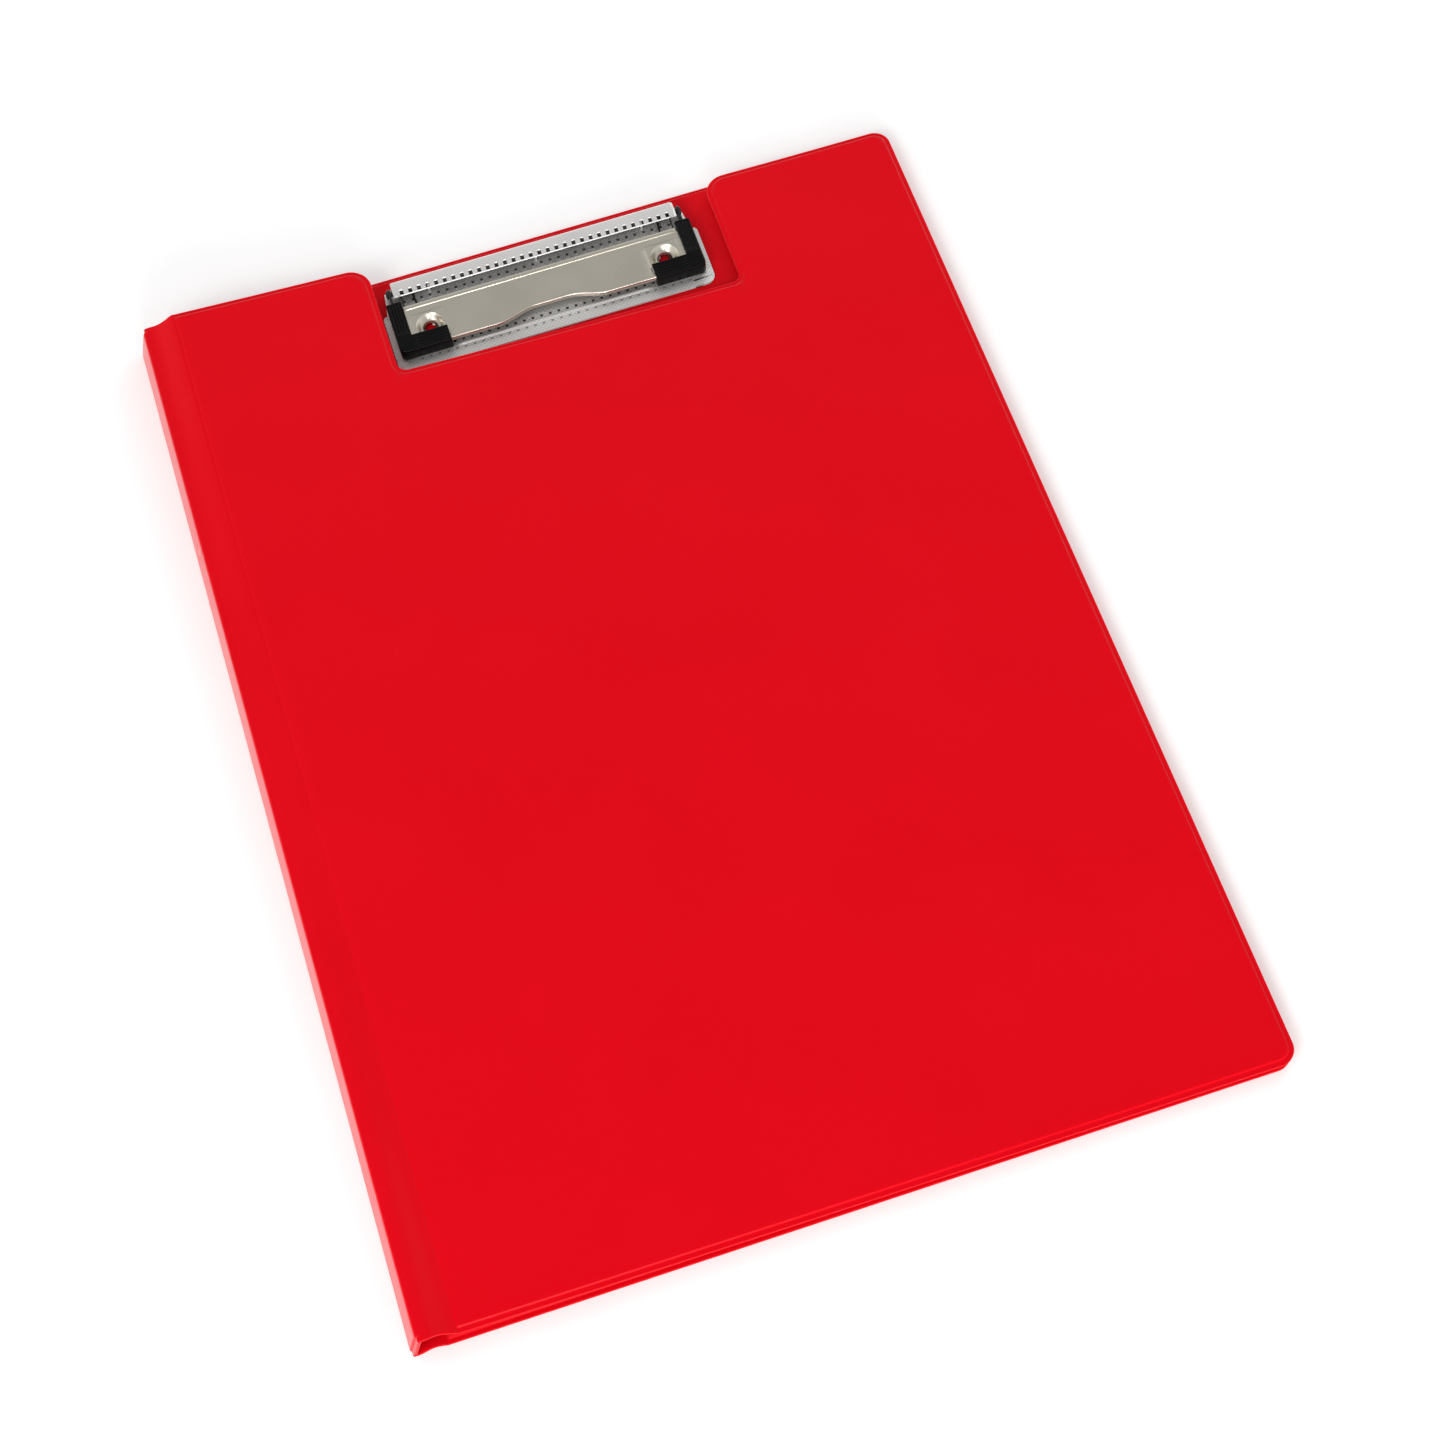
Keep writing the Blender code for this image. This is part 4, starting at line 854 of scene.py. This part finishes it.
def plated_material(name, dark, light, roughness, raised, depth, shade_contrast, metallic):
    """Nickel-plated sheet: a slow wear varies tone and gloss, a pattern is raised in it, and the
    pattern's hollows are darkened as painted shade.

    raised names the pattern: "Height" for embossed diamonds, "Wear" for a sheet that is only
    slightly uneven. Where the dent attribute is 1 the colour is near black: painted shade on the dent
    floors.
    """
    material, tree, shader = start_material(name, roughness, metallic=metallic)
    pattern = place_group(tree, diamond_emboss, {
        "Diamonds per metre": 740.0, "Wear per metre": 60.0})
    tone = node(tree, "ShaderNodeMixRGB", {
        "Fac": pattern.outputs["Wear"], "Color1": (*dark, 1.0), "Color2": (*light, 1.0)})
    where = node(tree, "ShaderNodeTexCoord").outputs["Object"]
    height = node(tree, "ShaderNodeSeparateXYZ", {"Vector": where}).outputs["Z"]
    rolled = node(tree, "ShaderNodeMapRange", {
        "Value": height, "From Min": (plate_low + 1.5) * MM, "From Max": (hood_top - 1.5) * MM,
        "To Min": 1.0, "To Max": HOOD_EMBOSS}).outputs["Result"]
    # Painted shade: the hollows of the emboss are darkened towards dark grey, as strong as the given
    # shade contrast, less on the rolled hood.
    hollow_shade = node(tree, "ShaderNodeMapRange", {
        "Value": pattern.outputs["Height"], "From Min": 0.15, "From Max": 0.45,
        "To Min": shade_contrast, "To Max": 0.0})
    hollow_shade = math_node(tree, "MULTIPLY", hollow_shade.outputs["Result"], rolled)
    tone = node(tree, "ShaderNodeMixRGB", {
        "Fac": hollow_shade, "Color1": tone.outputs["Color"],
        "Color2": (0.25, 0.24, 0.22, 1.0)})
    # Painted shade: the dent floors are painted near black, as the shade that falls in them.
    dent_shade = node(tree, "ShaderNodeAttribute", attribute_name="dent_shade")
    tone = node(tree, "ShaderNodeMixRGB", {
        "Fac": dent_shade.outputs["Fac"], "Color1": tone.outputs["Color"],
        "Color2": (0.035, 0.030, 0.030, 1.0)})
    tree.links.new(tone.outputs["Color"], shader.inputs["Base Color"])
    vary_gloss(tree, shader, pattern.outputs["Wear"], roughness - 0.04, roughness + 0.06)
    height = math_node(tree, "MULTIPLY", pattern.outputs[raised], rolled)
    raise_relief(tree, shader, height, 0.6, depth)
    return material


nickel_embossed = plated_material(
    "nickel_embossed", (0.80, 0.79, 0.77), (0.92, 0.91, 0.89), roughness=0.42, raised="Height",
    depth=0.08, shade_contrast=0.32, metallic=0.75)
base_plate = build("base_plate", base_plate_grids(), nickel_embossed, closed=False)
mark_dent_shade(base_plate)
finish_sheet(base_plate, SHEET, 0.0, 0.07)
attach(base_plate, "back")
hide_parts("clip_base_plate")


# Rivets and washers: bright hollow rivets that pin the base plate to the back board. Each has
# a rolled flange on the plate and is clinched over a washer under the board. The lining it was
# driven through is left as a bulged disc in its bore.
THROAT = 0.25
HEAD_ROUND = 0.2
CLINCH_ROUND = 0.12
PLUG_BULGE = 0.35
bright_steel, tree, shader = start_material("bright_steel", 0.16, metallic=1.0)
wear = place_spots(tree, 700.0, 4.0)
tint(tree, shader, wear, (0.66, 0.65, 0.62), (0.84, 0.83, 0.80))
vary_gloss(tree, shader, wear, 0.12, 0.24)


def turned(profile, centre, axis, sides):
    """A closed loop of (radius, height) carried round an axis, first point repeated last."""
    angle = np.linspace(0, 2 * math.pi, sides + 1)
    radius, height = np.array(profile).T
    a = radius[None] * np.cos(angle)[:, None]
    b = radius[None] * np.sin(angle)[:, None]
    c = np.repeat(height[None], len(angle), 0)
    points = np.stack((a, b, c), -1) if axis == "Z" else np.stack((c, a, b), -1)
    return points + np.array(centre)


def arc(centre, radius, start, end, steps):
    """Points of an arc in a plane, angles in degrees, both ends included."""
    angle = np.radians(np.linspace(start, end, steps + 1))
    return np.stack((centre[0] + radius * np.cos(angle), centre[1] + radius * np.sin(angle)), -1)


for side, (low, high) in rivet_box.items():
    roll = RIVET_SHEET
    head = float(high[2]) - roll
    foot_z = float(low[2]) + roll
    profile = np.concatenate((
        arc((RIVET_BARREL, head), roll + THROAT, 180, 90, 5),
        arc((RIVET_FLANGE - HEAD_ROUND, head + roll - HEAD_ROUND), HEAD_ROUND, 90, -90, 6),
        [(RIVET_BARREL, head - CLINCH_ROUND), (RIVET_BARREL, foot_z + 0.02)],
        arc((RIVET_FLANGE - CLINCH_ROUND, foot_z - CLINCH_ROUND), CLINCH_ROUND, 90, -90, 4),
        [(RIVET_BORE, float(low[2]))]))
    profile[:, 1] = np.clip(profile[:, 1], float(low[2]), float(high[2]))
    profile[:6, 0] = np.maximum(profile[:6, 0], RIVET_BORE)
    profile = np.concatenate((profile, profile[:1]))
    centre = (float(rivet_places[side][0]), float(rivet_places[side][1]), 0.0)
    plug_z = head - PLUG_BULGE
    bulge = np.linspace(0, 1, 7)
    upper = np.stack((RIVET_BORE * (1 - bulge), plug_z + PLUG_BULGE * bulge * (2 - bulge)), -1)
    plug_profile = np.concatenate((upper[::-1], upper - (0, FILM / 2)))
    plug = build("lining_in_bore_" + side, [(turned(plug_profile, centre, "Z", 32), None)], red_film)
    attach(plug, "back")
    rivet = build("hollow_rivet_" + side, [(turned(profile, centre, "Z", 48), None)], bright_steel)
    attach(rivet, "back")
    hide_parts("rivet_" + side)
    for holder in frame["nodes"]["rivet_washer_" + side].material_slots:
        holder.material = bright_steel


# Hinge rod: a steel pin through the lugs, the springs and the lever's ears, with a domed head
# riveted at each end.
dark_steel, tree, shader = start_material("dark_steel", 0.34, metallic=1.0)
tint(tree, shader, place_spots(tree, 500.0, 4.0), (0.03, 0.03, 0.03), (0.08, 0.08, 0.08))
rod_low, rod_high = box_of("hinge_rod")
rod_y, rod_z = float(joint_place["clip_lift"][1]), float(joint_place["clip_lift"][2])
ROD_RADIUS = 0.8
HEAD_LENGTH = 0.6
head_radius = float(rod_high[2]) - rod_z
half_rod = float(rod_high[0] - rod_low[0]) / 2
dome_angle = np.radians(np.arange(0, 91, 15))
dome = np.stack((head_radius * np.cos(dome_angle), half_rod - HEAD_LENGTH / 2 * (
    1 - np.sin(dome_angle))), -1)
right_end = np.concatenate((
    [(ROD_RADIUS, half_rod - HEAD_LENGTH), (head_radius, half_rod - HEAD_LENGTH)], dome))
profile = np.concatenate((right_end[::-1], right_end * (1, -1)))
profile[0, 0] = profile[-1, 0] = 0.0
rod = build("hinge_pin", [(turned(profile, (clip_x, rod_y, rod_z), "X", 32), None)], dark_steel)
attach(rod, "back")
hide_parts("hinge_rod")


# Torsion springs: round wire wound five turns on the rod, one leg on the base plate and one
# under the lever, so that the lever is pressed down on the sheets.
WIRE = 0.28
WIRE_GAP = 0.14
SPRING_TURNS = 5
SPRING_LEG = 9.0
LEG_SPREAD = 0.9
LEVER_SHEET = 0.6
RIDGE_HEIGHT = 0.5
lever_low, lever_high = box_of("lever_plate")
cap_low, cap_high = box_of("corner_cap_right")
base_top = plate_low + SHEET
lever_top = float(lever_high[2]) - RIDGE_HEIGHT
LEVER_WIDTH = 92.4
LEVER_DEPTH = 15.6
lever_front = float(lever_low[1])
lever_rear = lever_front + LEVER_DEPTH
CAP_SIDE = 4.7
CAP_FRONT_LENGTH = 15.7
cap_half = float(cap_high[0]) - clip_x


def tube(path, radius, sides):
    """A circle carried along a path, each ring square to it.

    A ring's first direction is the last ring's, less its part along the path, so that the tube
    doesn't twist. That is the only thing worked out ring after ring.
    """
    way = np.gradient(path, axis=0)
    way /= np.linalg.norm(way, axis=1)[:, None]
    side_way = np.zeros_like(path)
    side_way[0] = np.cross(way[0], (0.0, 0.0, 1.0))
    for index in range(1, len(path)):
        last = side_way[index - 1]
        side_way[index] = last - way[index] * np.dot(last, way[index])
        side_way[index] /= np.linalg.norm(side_way[index])
    side_way[0] /= np.linalg.norm(side_way[0])
    up_way = np.cross(way, side_way)
    angle = np.linspace(0, 2 * math.pi, sides + 1)
    ring = np.cos(angle)[None, :, None] * side_way[:, None] + (
        np.sin(angle)[None, :, None] * up_way[:, None])
    return path[:, None] + radius * ring


coil = ROD_RADIUS + WIRE_GAP + WIRE
coil_length = (2 * WIRE + WIRE_GAP) * SPRING_TURNS
coil_end = cap_half - CAP_SIDE - WIRE - 2 * WIRE_GAP
coil_start = coil_end - coil_length
for side, mirror in (("left", -1.0), ("right", 1.0)):
    low_z = base_top + WIRE + WIRE_GAP
    high_z = lever_top - LEVER_SHEET - WIRE - WIRE_GAP
    under = lever_top - 2 * RIDGE_HEIGHT - WIRE - 2 * WIRE_GAP
    turns = np.linspace(0, SPRING_TURNS - 0.5, 24 * SPRING_TURNS)
    angle = -math.pi / 2 + 2 * math.pi * turns
    winding = np.stack((
        coil_start + coil_length * turns / SPRING_TURNS,
        rod_y + coil * np.cos(angle), rod_z + coil * np.sin(angle)), -1)
    leg = spread(0.0, 1.0, 0.125)[:, None]
    lower = np.array([coil_start - LEG_SPREAD, rod_y - coil - SPRING_LEG, low_z]) * (1 - leg)
    lower = lower + np.array([coil_start - LEG_SPREAD / 4, rod_y - coil, low_z]) * leg
    knots = np.array([
        winding[-1], (coil_end, rod_y - coil, (rod_z + coil + under) / 2),
        (coil_end, lever_rear + 0.5, under), (coil_end, lever_rear - 1.0, under),
        (coil_end, rod_y - coil - SPRING_LEG, high_z)])
    upper = knots[:-1, None] + (knots[1:] - knots[:-1])[:, None] * leg[1:]
    wire = np.concatenate((lower, winding, upper.reshape(-1, 3)))
    for smoothing in range(2):
        wire[1:-1] = (wire[:-2] + 2 * wire[1:-1] + wire[2:]) / 4
    wire = wire * (mirror, 1, 1) + (clip_x, 0, 0)
    rings = tube(wire, WIRE, 10)
    spring = build(
        "spring_wire_" + side, [(rings, None)], dark_steel, caps=(rings[0, :-1], rings[-1, :-1]))
    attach(spring, "back")
    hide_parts("torsion_spring_" + side)


# Lever plate: a pressed nickel-plated sheet. A ridge is rolled along its rear, a lip along its
# front is drawn back into a finger scallop, and a dish is pressed over each rivet.
LIP_RADIUS = 0.65
LIP_TURN = 78.0
LIP_TAIL = 0.80
LIP_DROP = 0.45
RIDGE_WIDTH = 1.6
SCALLOP_DEPTH = 2.7
SCALLOP_HALF = 17.0
SCALLOP_FLAT = 0.3
DISH_RADIUS = 4.3
DISH_FLOOR = 2.9
DISH_DEPTH = 1.6
DISH_HOLE = 2.4
DISH_HALF = 5.0
DISH_FROM_FRONT = 6.8
DISH_FLARE = 0.3
REAR_DROPS = np.array([1.0, 0.6, 0.25])
END_STEP = 1.6
MIDDLE_STEP = 3.0
SCALLOP_STEP = 0.6
LIP_START = 0.35
CAP_HOLD = 0.2
CAP_HOLD_RUN = 1.2
EAR_THICK = 0.7
EAR_WALL = 0.85
EAR_TAIL = 7.0
EAR_FALL = 6.0
EAR_CLIMB = 0.5


def scallop(x):
    """How far the front edge is drawn back at x from the middle."""
    across = np.abs(x) / SCALLOP_HALF
    return SCALLOP_DEPTH * (1 - ease((across - SCALLOP_FLAT) / (1 - SCALLOP_FLAT)))


def lever_grids():
    """The lever's upper face as a grid across the clip and along its section, rear to front."""
    half = LEVER_WIDTH / 2
    dish_y = lever_front + DISH_FROM_FRONT
    dish_x = [hole[0] - clip_x for hole in rivet_holes]
    cells = hole_cells(DISH_HALF)
    plain = np.concatenate((
        spread(-half, dish_x[0] - DISH_HALF, END_STEP), dish_x[0] + cells,
        spread(dish_x[0] + DISH_HALF, -SCALLOP_HALF, MIDDLE_STEP),
        spread(-SCALLOP_HALF, 0.0, SCALLOP_STEP)))
    x = np.unique(np.concatenate((plain, -plain)).round(4))
    x = x[np.concatenate(([True], np.diff(x) > 0.01))]
    fixed = dish_y + cells[::-1]
    fixed = np.concatenate((spread(lever_rear - RIDGE_WIDTH - 0.3, fixed[0], 1.0)[:-1], fixed))
    base = fixed[0]
    front = lever_front + scallop(x)
    lip_turn = np.radians(np.linspace(0, LIP_TURN, 9))
    lip_out = np.append(LIP_RADIUS * np.sin(lip_turn), 0.0)
    lip_out[-1] = lip_out[-2] + LIP_TAIL * math.cos(lip_turn[-1])
    lip_fall = np.append(LIP_RADIUS * (1 - np.cos(lip_turn)), 0.0)
    lip_fall[-1] = lip_fall[-2] + LIP_TAIL * math.sin(lip_turn[-1])
    share = (base - fixed) / (base - fixed[-1])
    bend_y = front + lip_out[-1]
    flat_y = base - share[None] * (base - bend_y - LIP_START)[:, None]
    in_cap = ease((np.abs(x) - (cap_half - CAP_FRONT_LENGTH + CAP_HOLD)) / CAP_HOLD_RUN)
    lip_y = bend_y[:, None] - lip_out[None]
    lip_z = lever_top - lip_fall[None] * (1 - in_cap[:, None] * (1 - LIP_DROP / lip_fall[-1]))
    turn_angle = np.linspace(0, math.pi, 11)
    ridge_b = RIDGE_WIDTH / 2 * (1 - np.cos(turn_angle))
    ridge_z = RIDGE_HEIGHT * np.sin(turn_angle)
    fading = ease((cap_half - CAP_SIDE - 0.3 - np.abs(x)) / 1.0)
    rear_y = np.concatenate((np.full(len(REAR_DROPS), lever_rear), lever_rear - ridge_b))
    rear_z = lever_top + np.concatenate((-REAR_DROPS, np.zeros(len(ridge_z))))
    rear_z = rear_z + np.concatenate((np.zeros(len(REAR_DROPS)), ridge_z))[None] * fading[:, None]
    y = np.concatenate((np.repeat(rear_y[None], len(x), 0), flat_y, lip_y), 1)
    z = np.concatenate((rear_z, np.full(flat_y.shape, lever_top), lip_z), 1)
    points = np.stack((np.repeat(x[:, None], y.shape[1], 1) + clip_x, y, z), -1)
    points = points[:, ::-1]
    mid = (points[:-1, :-1] + points[1:, 1:]) / 2
    skip = np.zeros(mid.shape[:2], bool)
    grids = [(points, skip)]
    square = square_ring(DISH_HALF)
    for middle in dish_x:
        skip |= (np.abs(mid[..., 0] - clip_x - middle) < DISH_HALF) & (
            np.abs(mid[..., 1] - dish_y) < DISH_HALF) & (mid[..., 2] > lever_top - 0.01)
        rings = [square, (square + round_ring(square, DISH_RADIUS + DISH_FLARE)) / 2]
        wall = np.linspace(DISH_RADIUS, DISH_FLOOR, 12)
        radii = np.concatenate(([DISH_RADIUS + 0.1], wall, [(DISH_FLOOR + DISH_HOLE) / 2, DISH_HOLE]))
        rings += [round_ring(square, radius) for radius in radii]
        share = np.clip((DISH_RADIUS - radii) / (DISH_RADIUS - DISH_FLOOR), 0, 1)
        drops = DISH_DEPTH * (0.8 * share + 0.2 * ease(share))
        drops = np.concatenate(([0.0, 0.0], drops))
        rings = np.array(rings)
        z = lever_top - np.repeat(drops[:, None], rings.shape[1], 1)
        dish = np.stack((rings[..., 0] + clip_x + middle, rings[..., 1] + dish_y, z), -1)
        grids.append((dish[:, ::-1], None))
    return grids


nickel_satin = plated_material(
    "nickel_satin", (0.63, 0.59, 0.50), (0.69, 0.65, 0.56), roughness=0.28, raised="Wear",
    depth=0.03, shade_contrast=0.0, metallic=1.0)
lever = build("lever", lever_grids(), nickel_satin, closed=False)
finish_sheet(lever, LEVER_SHEET, -1.0, 0.07)
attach(lever, "clip_lever")
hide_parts("lever_plate")

# The ears run from under the lever's rear to a round eye on the hinge rod.
ear_reach = ROD_RADIUS + EAR_WALL
ear_y = np.concatenate((
    spread(lever_rear - EAR_TAIL, rod_y, 1.0),
    rod_y + ear_reach * np.sin(np.radians(np.arange(10, 91, 10)))))
eye = np.sqrt(np.clip(ear_reach ** 2 - np.maximum(ear_y - rod_y, 0) ** 2, 0, None))
root_high = lever_top - LEVER_SHEET / 2
root_low = lever_top - LEVER_SHEET * 1.9
climb = ease((ear_y - lever_rear + EAR_CLIMB) / (rod_y - lever_rear - EAR_CLIMB))
fall = ease((ear_y - lever_rear + EAR_FALL) / (rod_y - lever_rear + EAR_FALL))
ear_high = np.minimum(root_high + (rod_z + ear_reach - root_high) * climb, rod_z + eye)
ear_low = np.maximum(root_low + (rod_z - ear_reach - root_low) * fall, rod_z - eye)
for side, mirror in (("left", -1.0), ("right", 1.0)):
    centre = clip_x + mirror * (LEVER_WIDTH / 2 - 0.3 - EAR_THICK / 2)
    rise = np.linspace(0, 1, 4)
    z = ear_low[:, None] * (1 - rise) + ear_high[:, None] * rise
    y = np.repeat(ear_y[:, None], 4, 1)
    ear = build("lever_ear_" + side, [(np.stack((np.full(z.shape, centre), y, z), -1), None)],
                dark_steel, closed=False)
    finish_sheet(ear, EAR_THICK, 0.0, 0.1)
    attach(ear, "clip_lever")


# Corner caps: glossy black moulded L pieces pushed over the lever's front corners. Each has a
# slot for the plate, grip grooves along both arms and a foot that rests above the base plate.
CAP_SIDE_LENGTH = 18.3
CAP_FRONT = 5.6
CAP_RADIUS = 1.8
CAP_WALL = 1.15
CAP_SLOT = 0.15
FRONT_FOOT = 3.6
SIDE_FOOT = 1.45
GROOVES = 4
GROOVE_DEPTH = 0.28
GROOVE_MARGIN = 0.8
GROOVE_FADE = 0.7
CAP_STEP = 0.7
CAP_EDGE = 0.15
CAP_ROUND = 0.55
FOOT_ROUND = 0.35
cap_top = float(cap_high[2])
cap_bottom = float(cap_low[2])
cap_front = float(cap_low[1])

black_plastic, tree, shader = start_material("black_plastic", 0.20, specular=0.14)
flow = place_spots(tree, 300.0, 3.0)
tint(tree, shader, flow, (0.0006, 0.0006, 0.0008), (0.0020, 0.0020, 0.0024))
vary_gloss(tree, shader, flow, 0.22, 0.36)
raise_relief(tree, shader, place_spots(tree, 3500.0, 2.0), 0.25, 0.02)


def cap_stations():
    """Stations along a cap's L, from the front arm's end to the side arm's.

    Gives the outer points, the inner points, the foot's width and how deep the grooves are.
    """
    corner_x, corner_y = cap_half - CAP_SIDE, cap_front + CAP_FRONT
    front_x = spread(cap_half - CAP_FRONT_LENGTH, corner_x, CAP_STEP)
    lead_x = spread(corner_x, cap_half - CAP_RADIUS, CAP_STEP)[1:-1]
    curve = arc((cap_half - CAP_RADIUS, cap_front + CAP_RADIUS), CAP_RADIUS, -90, 0, 10)
    rest_y = spread(cap_front + CAP_RADIUS, corner_y, CAP_STEP)[1:-1]
    side_y = spread(corner_y, cap_front + CAP_SIDE_LENGTH, CAP_STEP)
    before, after = len(front_x) + len(lead_x), len(rest_y) + len(side_y)
    outer = np.stack((
        np.concatenate((front_x, lead_x, curve[:, 0], np.full(after, cap_half))),
        np.concatenate((np.full(before, cap_front), curve[:, 1], rest_y, side_y))), -1)
    inner = np.stack((np.minimum(outer[:, 0], corner_x), np.maximum(outer[:, 1], corner_y)), -1)
    feet = np.concatenate((
        np.full(before, FRONT_FOOT), np.linspace(FRONT_FOOT, SIDE_FOOT, len(curve)),
        np.full(after, SIDE_FOOT)))
    along_front = np.minimum(inner[:, 0] - front_x[0], corner_x - inner[:, 0])
    along_side = np.minimum(inner[:, 1] - corner_y, side_y[-1] - inner[:, 1])
    from_end = np.where(inner[:, 1] > corner_y, along_side, along_front)
    return outer, inner, feet, ease((from_end - GROOVE_MARGIN) / GROOVE_FADE)


def cap_sections(width, foot, groove):
    """Sections square to the cap's arms, a row for each station: distances in, and heights.

    A section runs over the grooved top, round the outer edge, under the foot and into the slot.
    """
    top_in = np.linspace(width - CAP_EDGE, CAP_ROUND, 40, axis=1)
    width, foot, groove = width[:, None], foot[:, None], groove[:, None]
    phase = (top_in - CAP_ROUND - 0.2) / ((width - 2 * CAP_ROUND) / GROOVES)
    crest = np.clip(np.abs((phase % 1.0) - 0.5) / 0.5, 0, 1) ** 0.6
    valley = (1 - crest) * (phase > 0) * (phase < GROOVES)
    top_z = cap_top - groove * GROOVE_DEPTH * ease(valley * 1.6)
    outside = np.concatenate((
        arc((CAP_ROUND, cap_top - CAP_ROUND), CAP_ROUND, 90, 180, 6)[1:],
        [(0.0, (cap_top + cap_bottom) / 2)],
        arc((FOOT_ROUND, cap_bottom + FOOT_ROUND), FOOT_ROUND, 180, 270, 4)))
    slot_low = lever_top - LEVER_SHEET - LIP_DROP - CAP_SLOT
    slot_high = lever_top + CAP_SLOT
    same = np.ones_like(width)
    distance = np.concatenate((
        width, top_in, outside[:, 0] * same, foot - CAP_EDGE, foot, foot, CAP_WALL * same,
        CAP_WALL * same, width, width), 1)
    inner_z = np.array([
        cap_bottom, cap_bottom + CAP_EDGE, slot_low, slot_low, slot_high, slot_high,
        cap_top - CAP_EDGE])
    height = np.concatenate((
        (cap_top - CAP_EDGE) * same, top_z, outside[:, 1] * same, inner_z * same), 1)
    return distance, height


def cap_rings(mirror):
    """The section carried round the L, from outer point towards inner point at each station."""
    outer, inner, feet, grooves = cap_stations()
    reach = np.hypot(*(inner - outer).T)
    distance, height = cap_sections(reach, feet, grooves)
    place = outer[:, None] + (inner - outer)[:, None] * (distance / reach[:, None])[..., None]
    return np.stack((clip_x + mirror * place[..., 0], place[..., 1], height), -1)


for side, mirror in (("left", -1.0), ("right", 1.0)):
    rings = cap_rings(mirror)
    cap = build("grip_cap_" + side, [(rings, None)], black_plastic, sharp=45.0,
                caps=(rings[0, :-1], rings[-1, :-1]))
    rounding = cap.modifiers.new("edge", "BEVEL")
    rounding.width = 0.14 * MM
    rounding.segments = 2
    rounding.limit_method = "ANGLE"
    rounding.angle_limit = math.radians(50.0)
    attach(cap, "clip_lever")
    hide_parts("corner_cap_" + side)
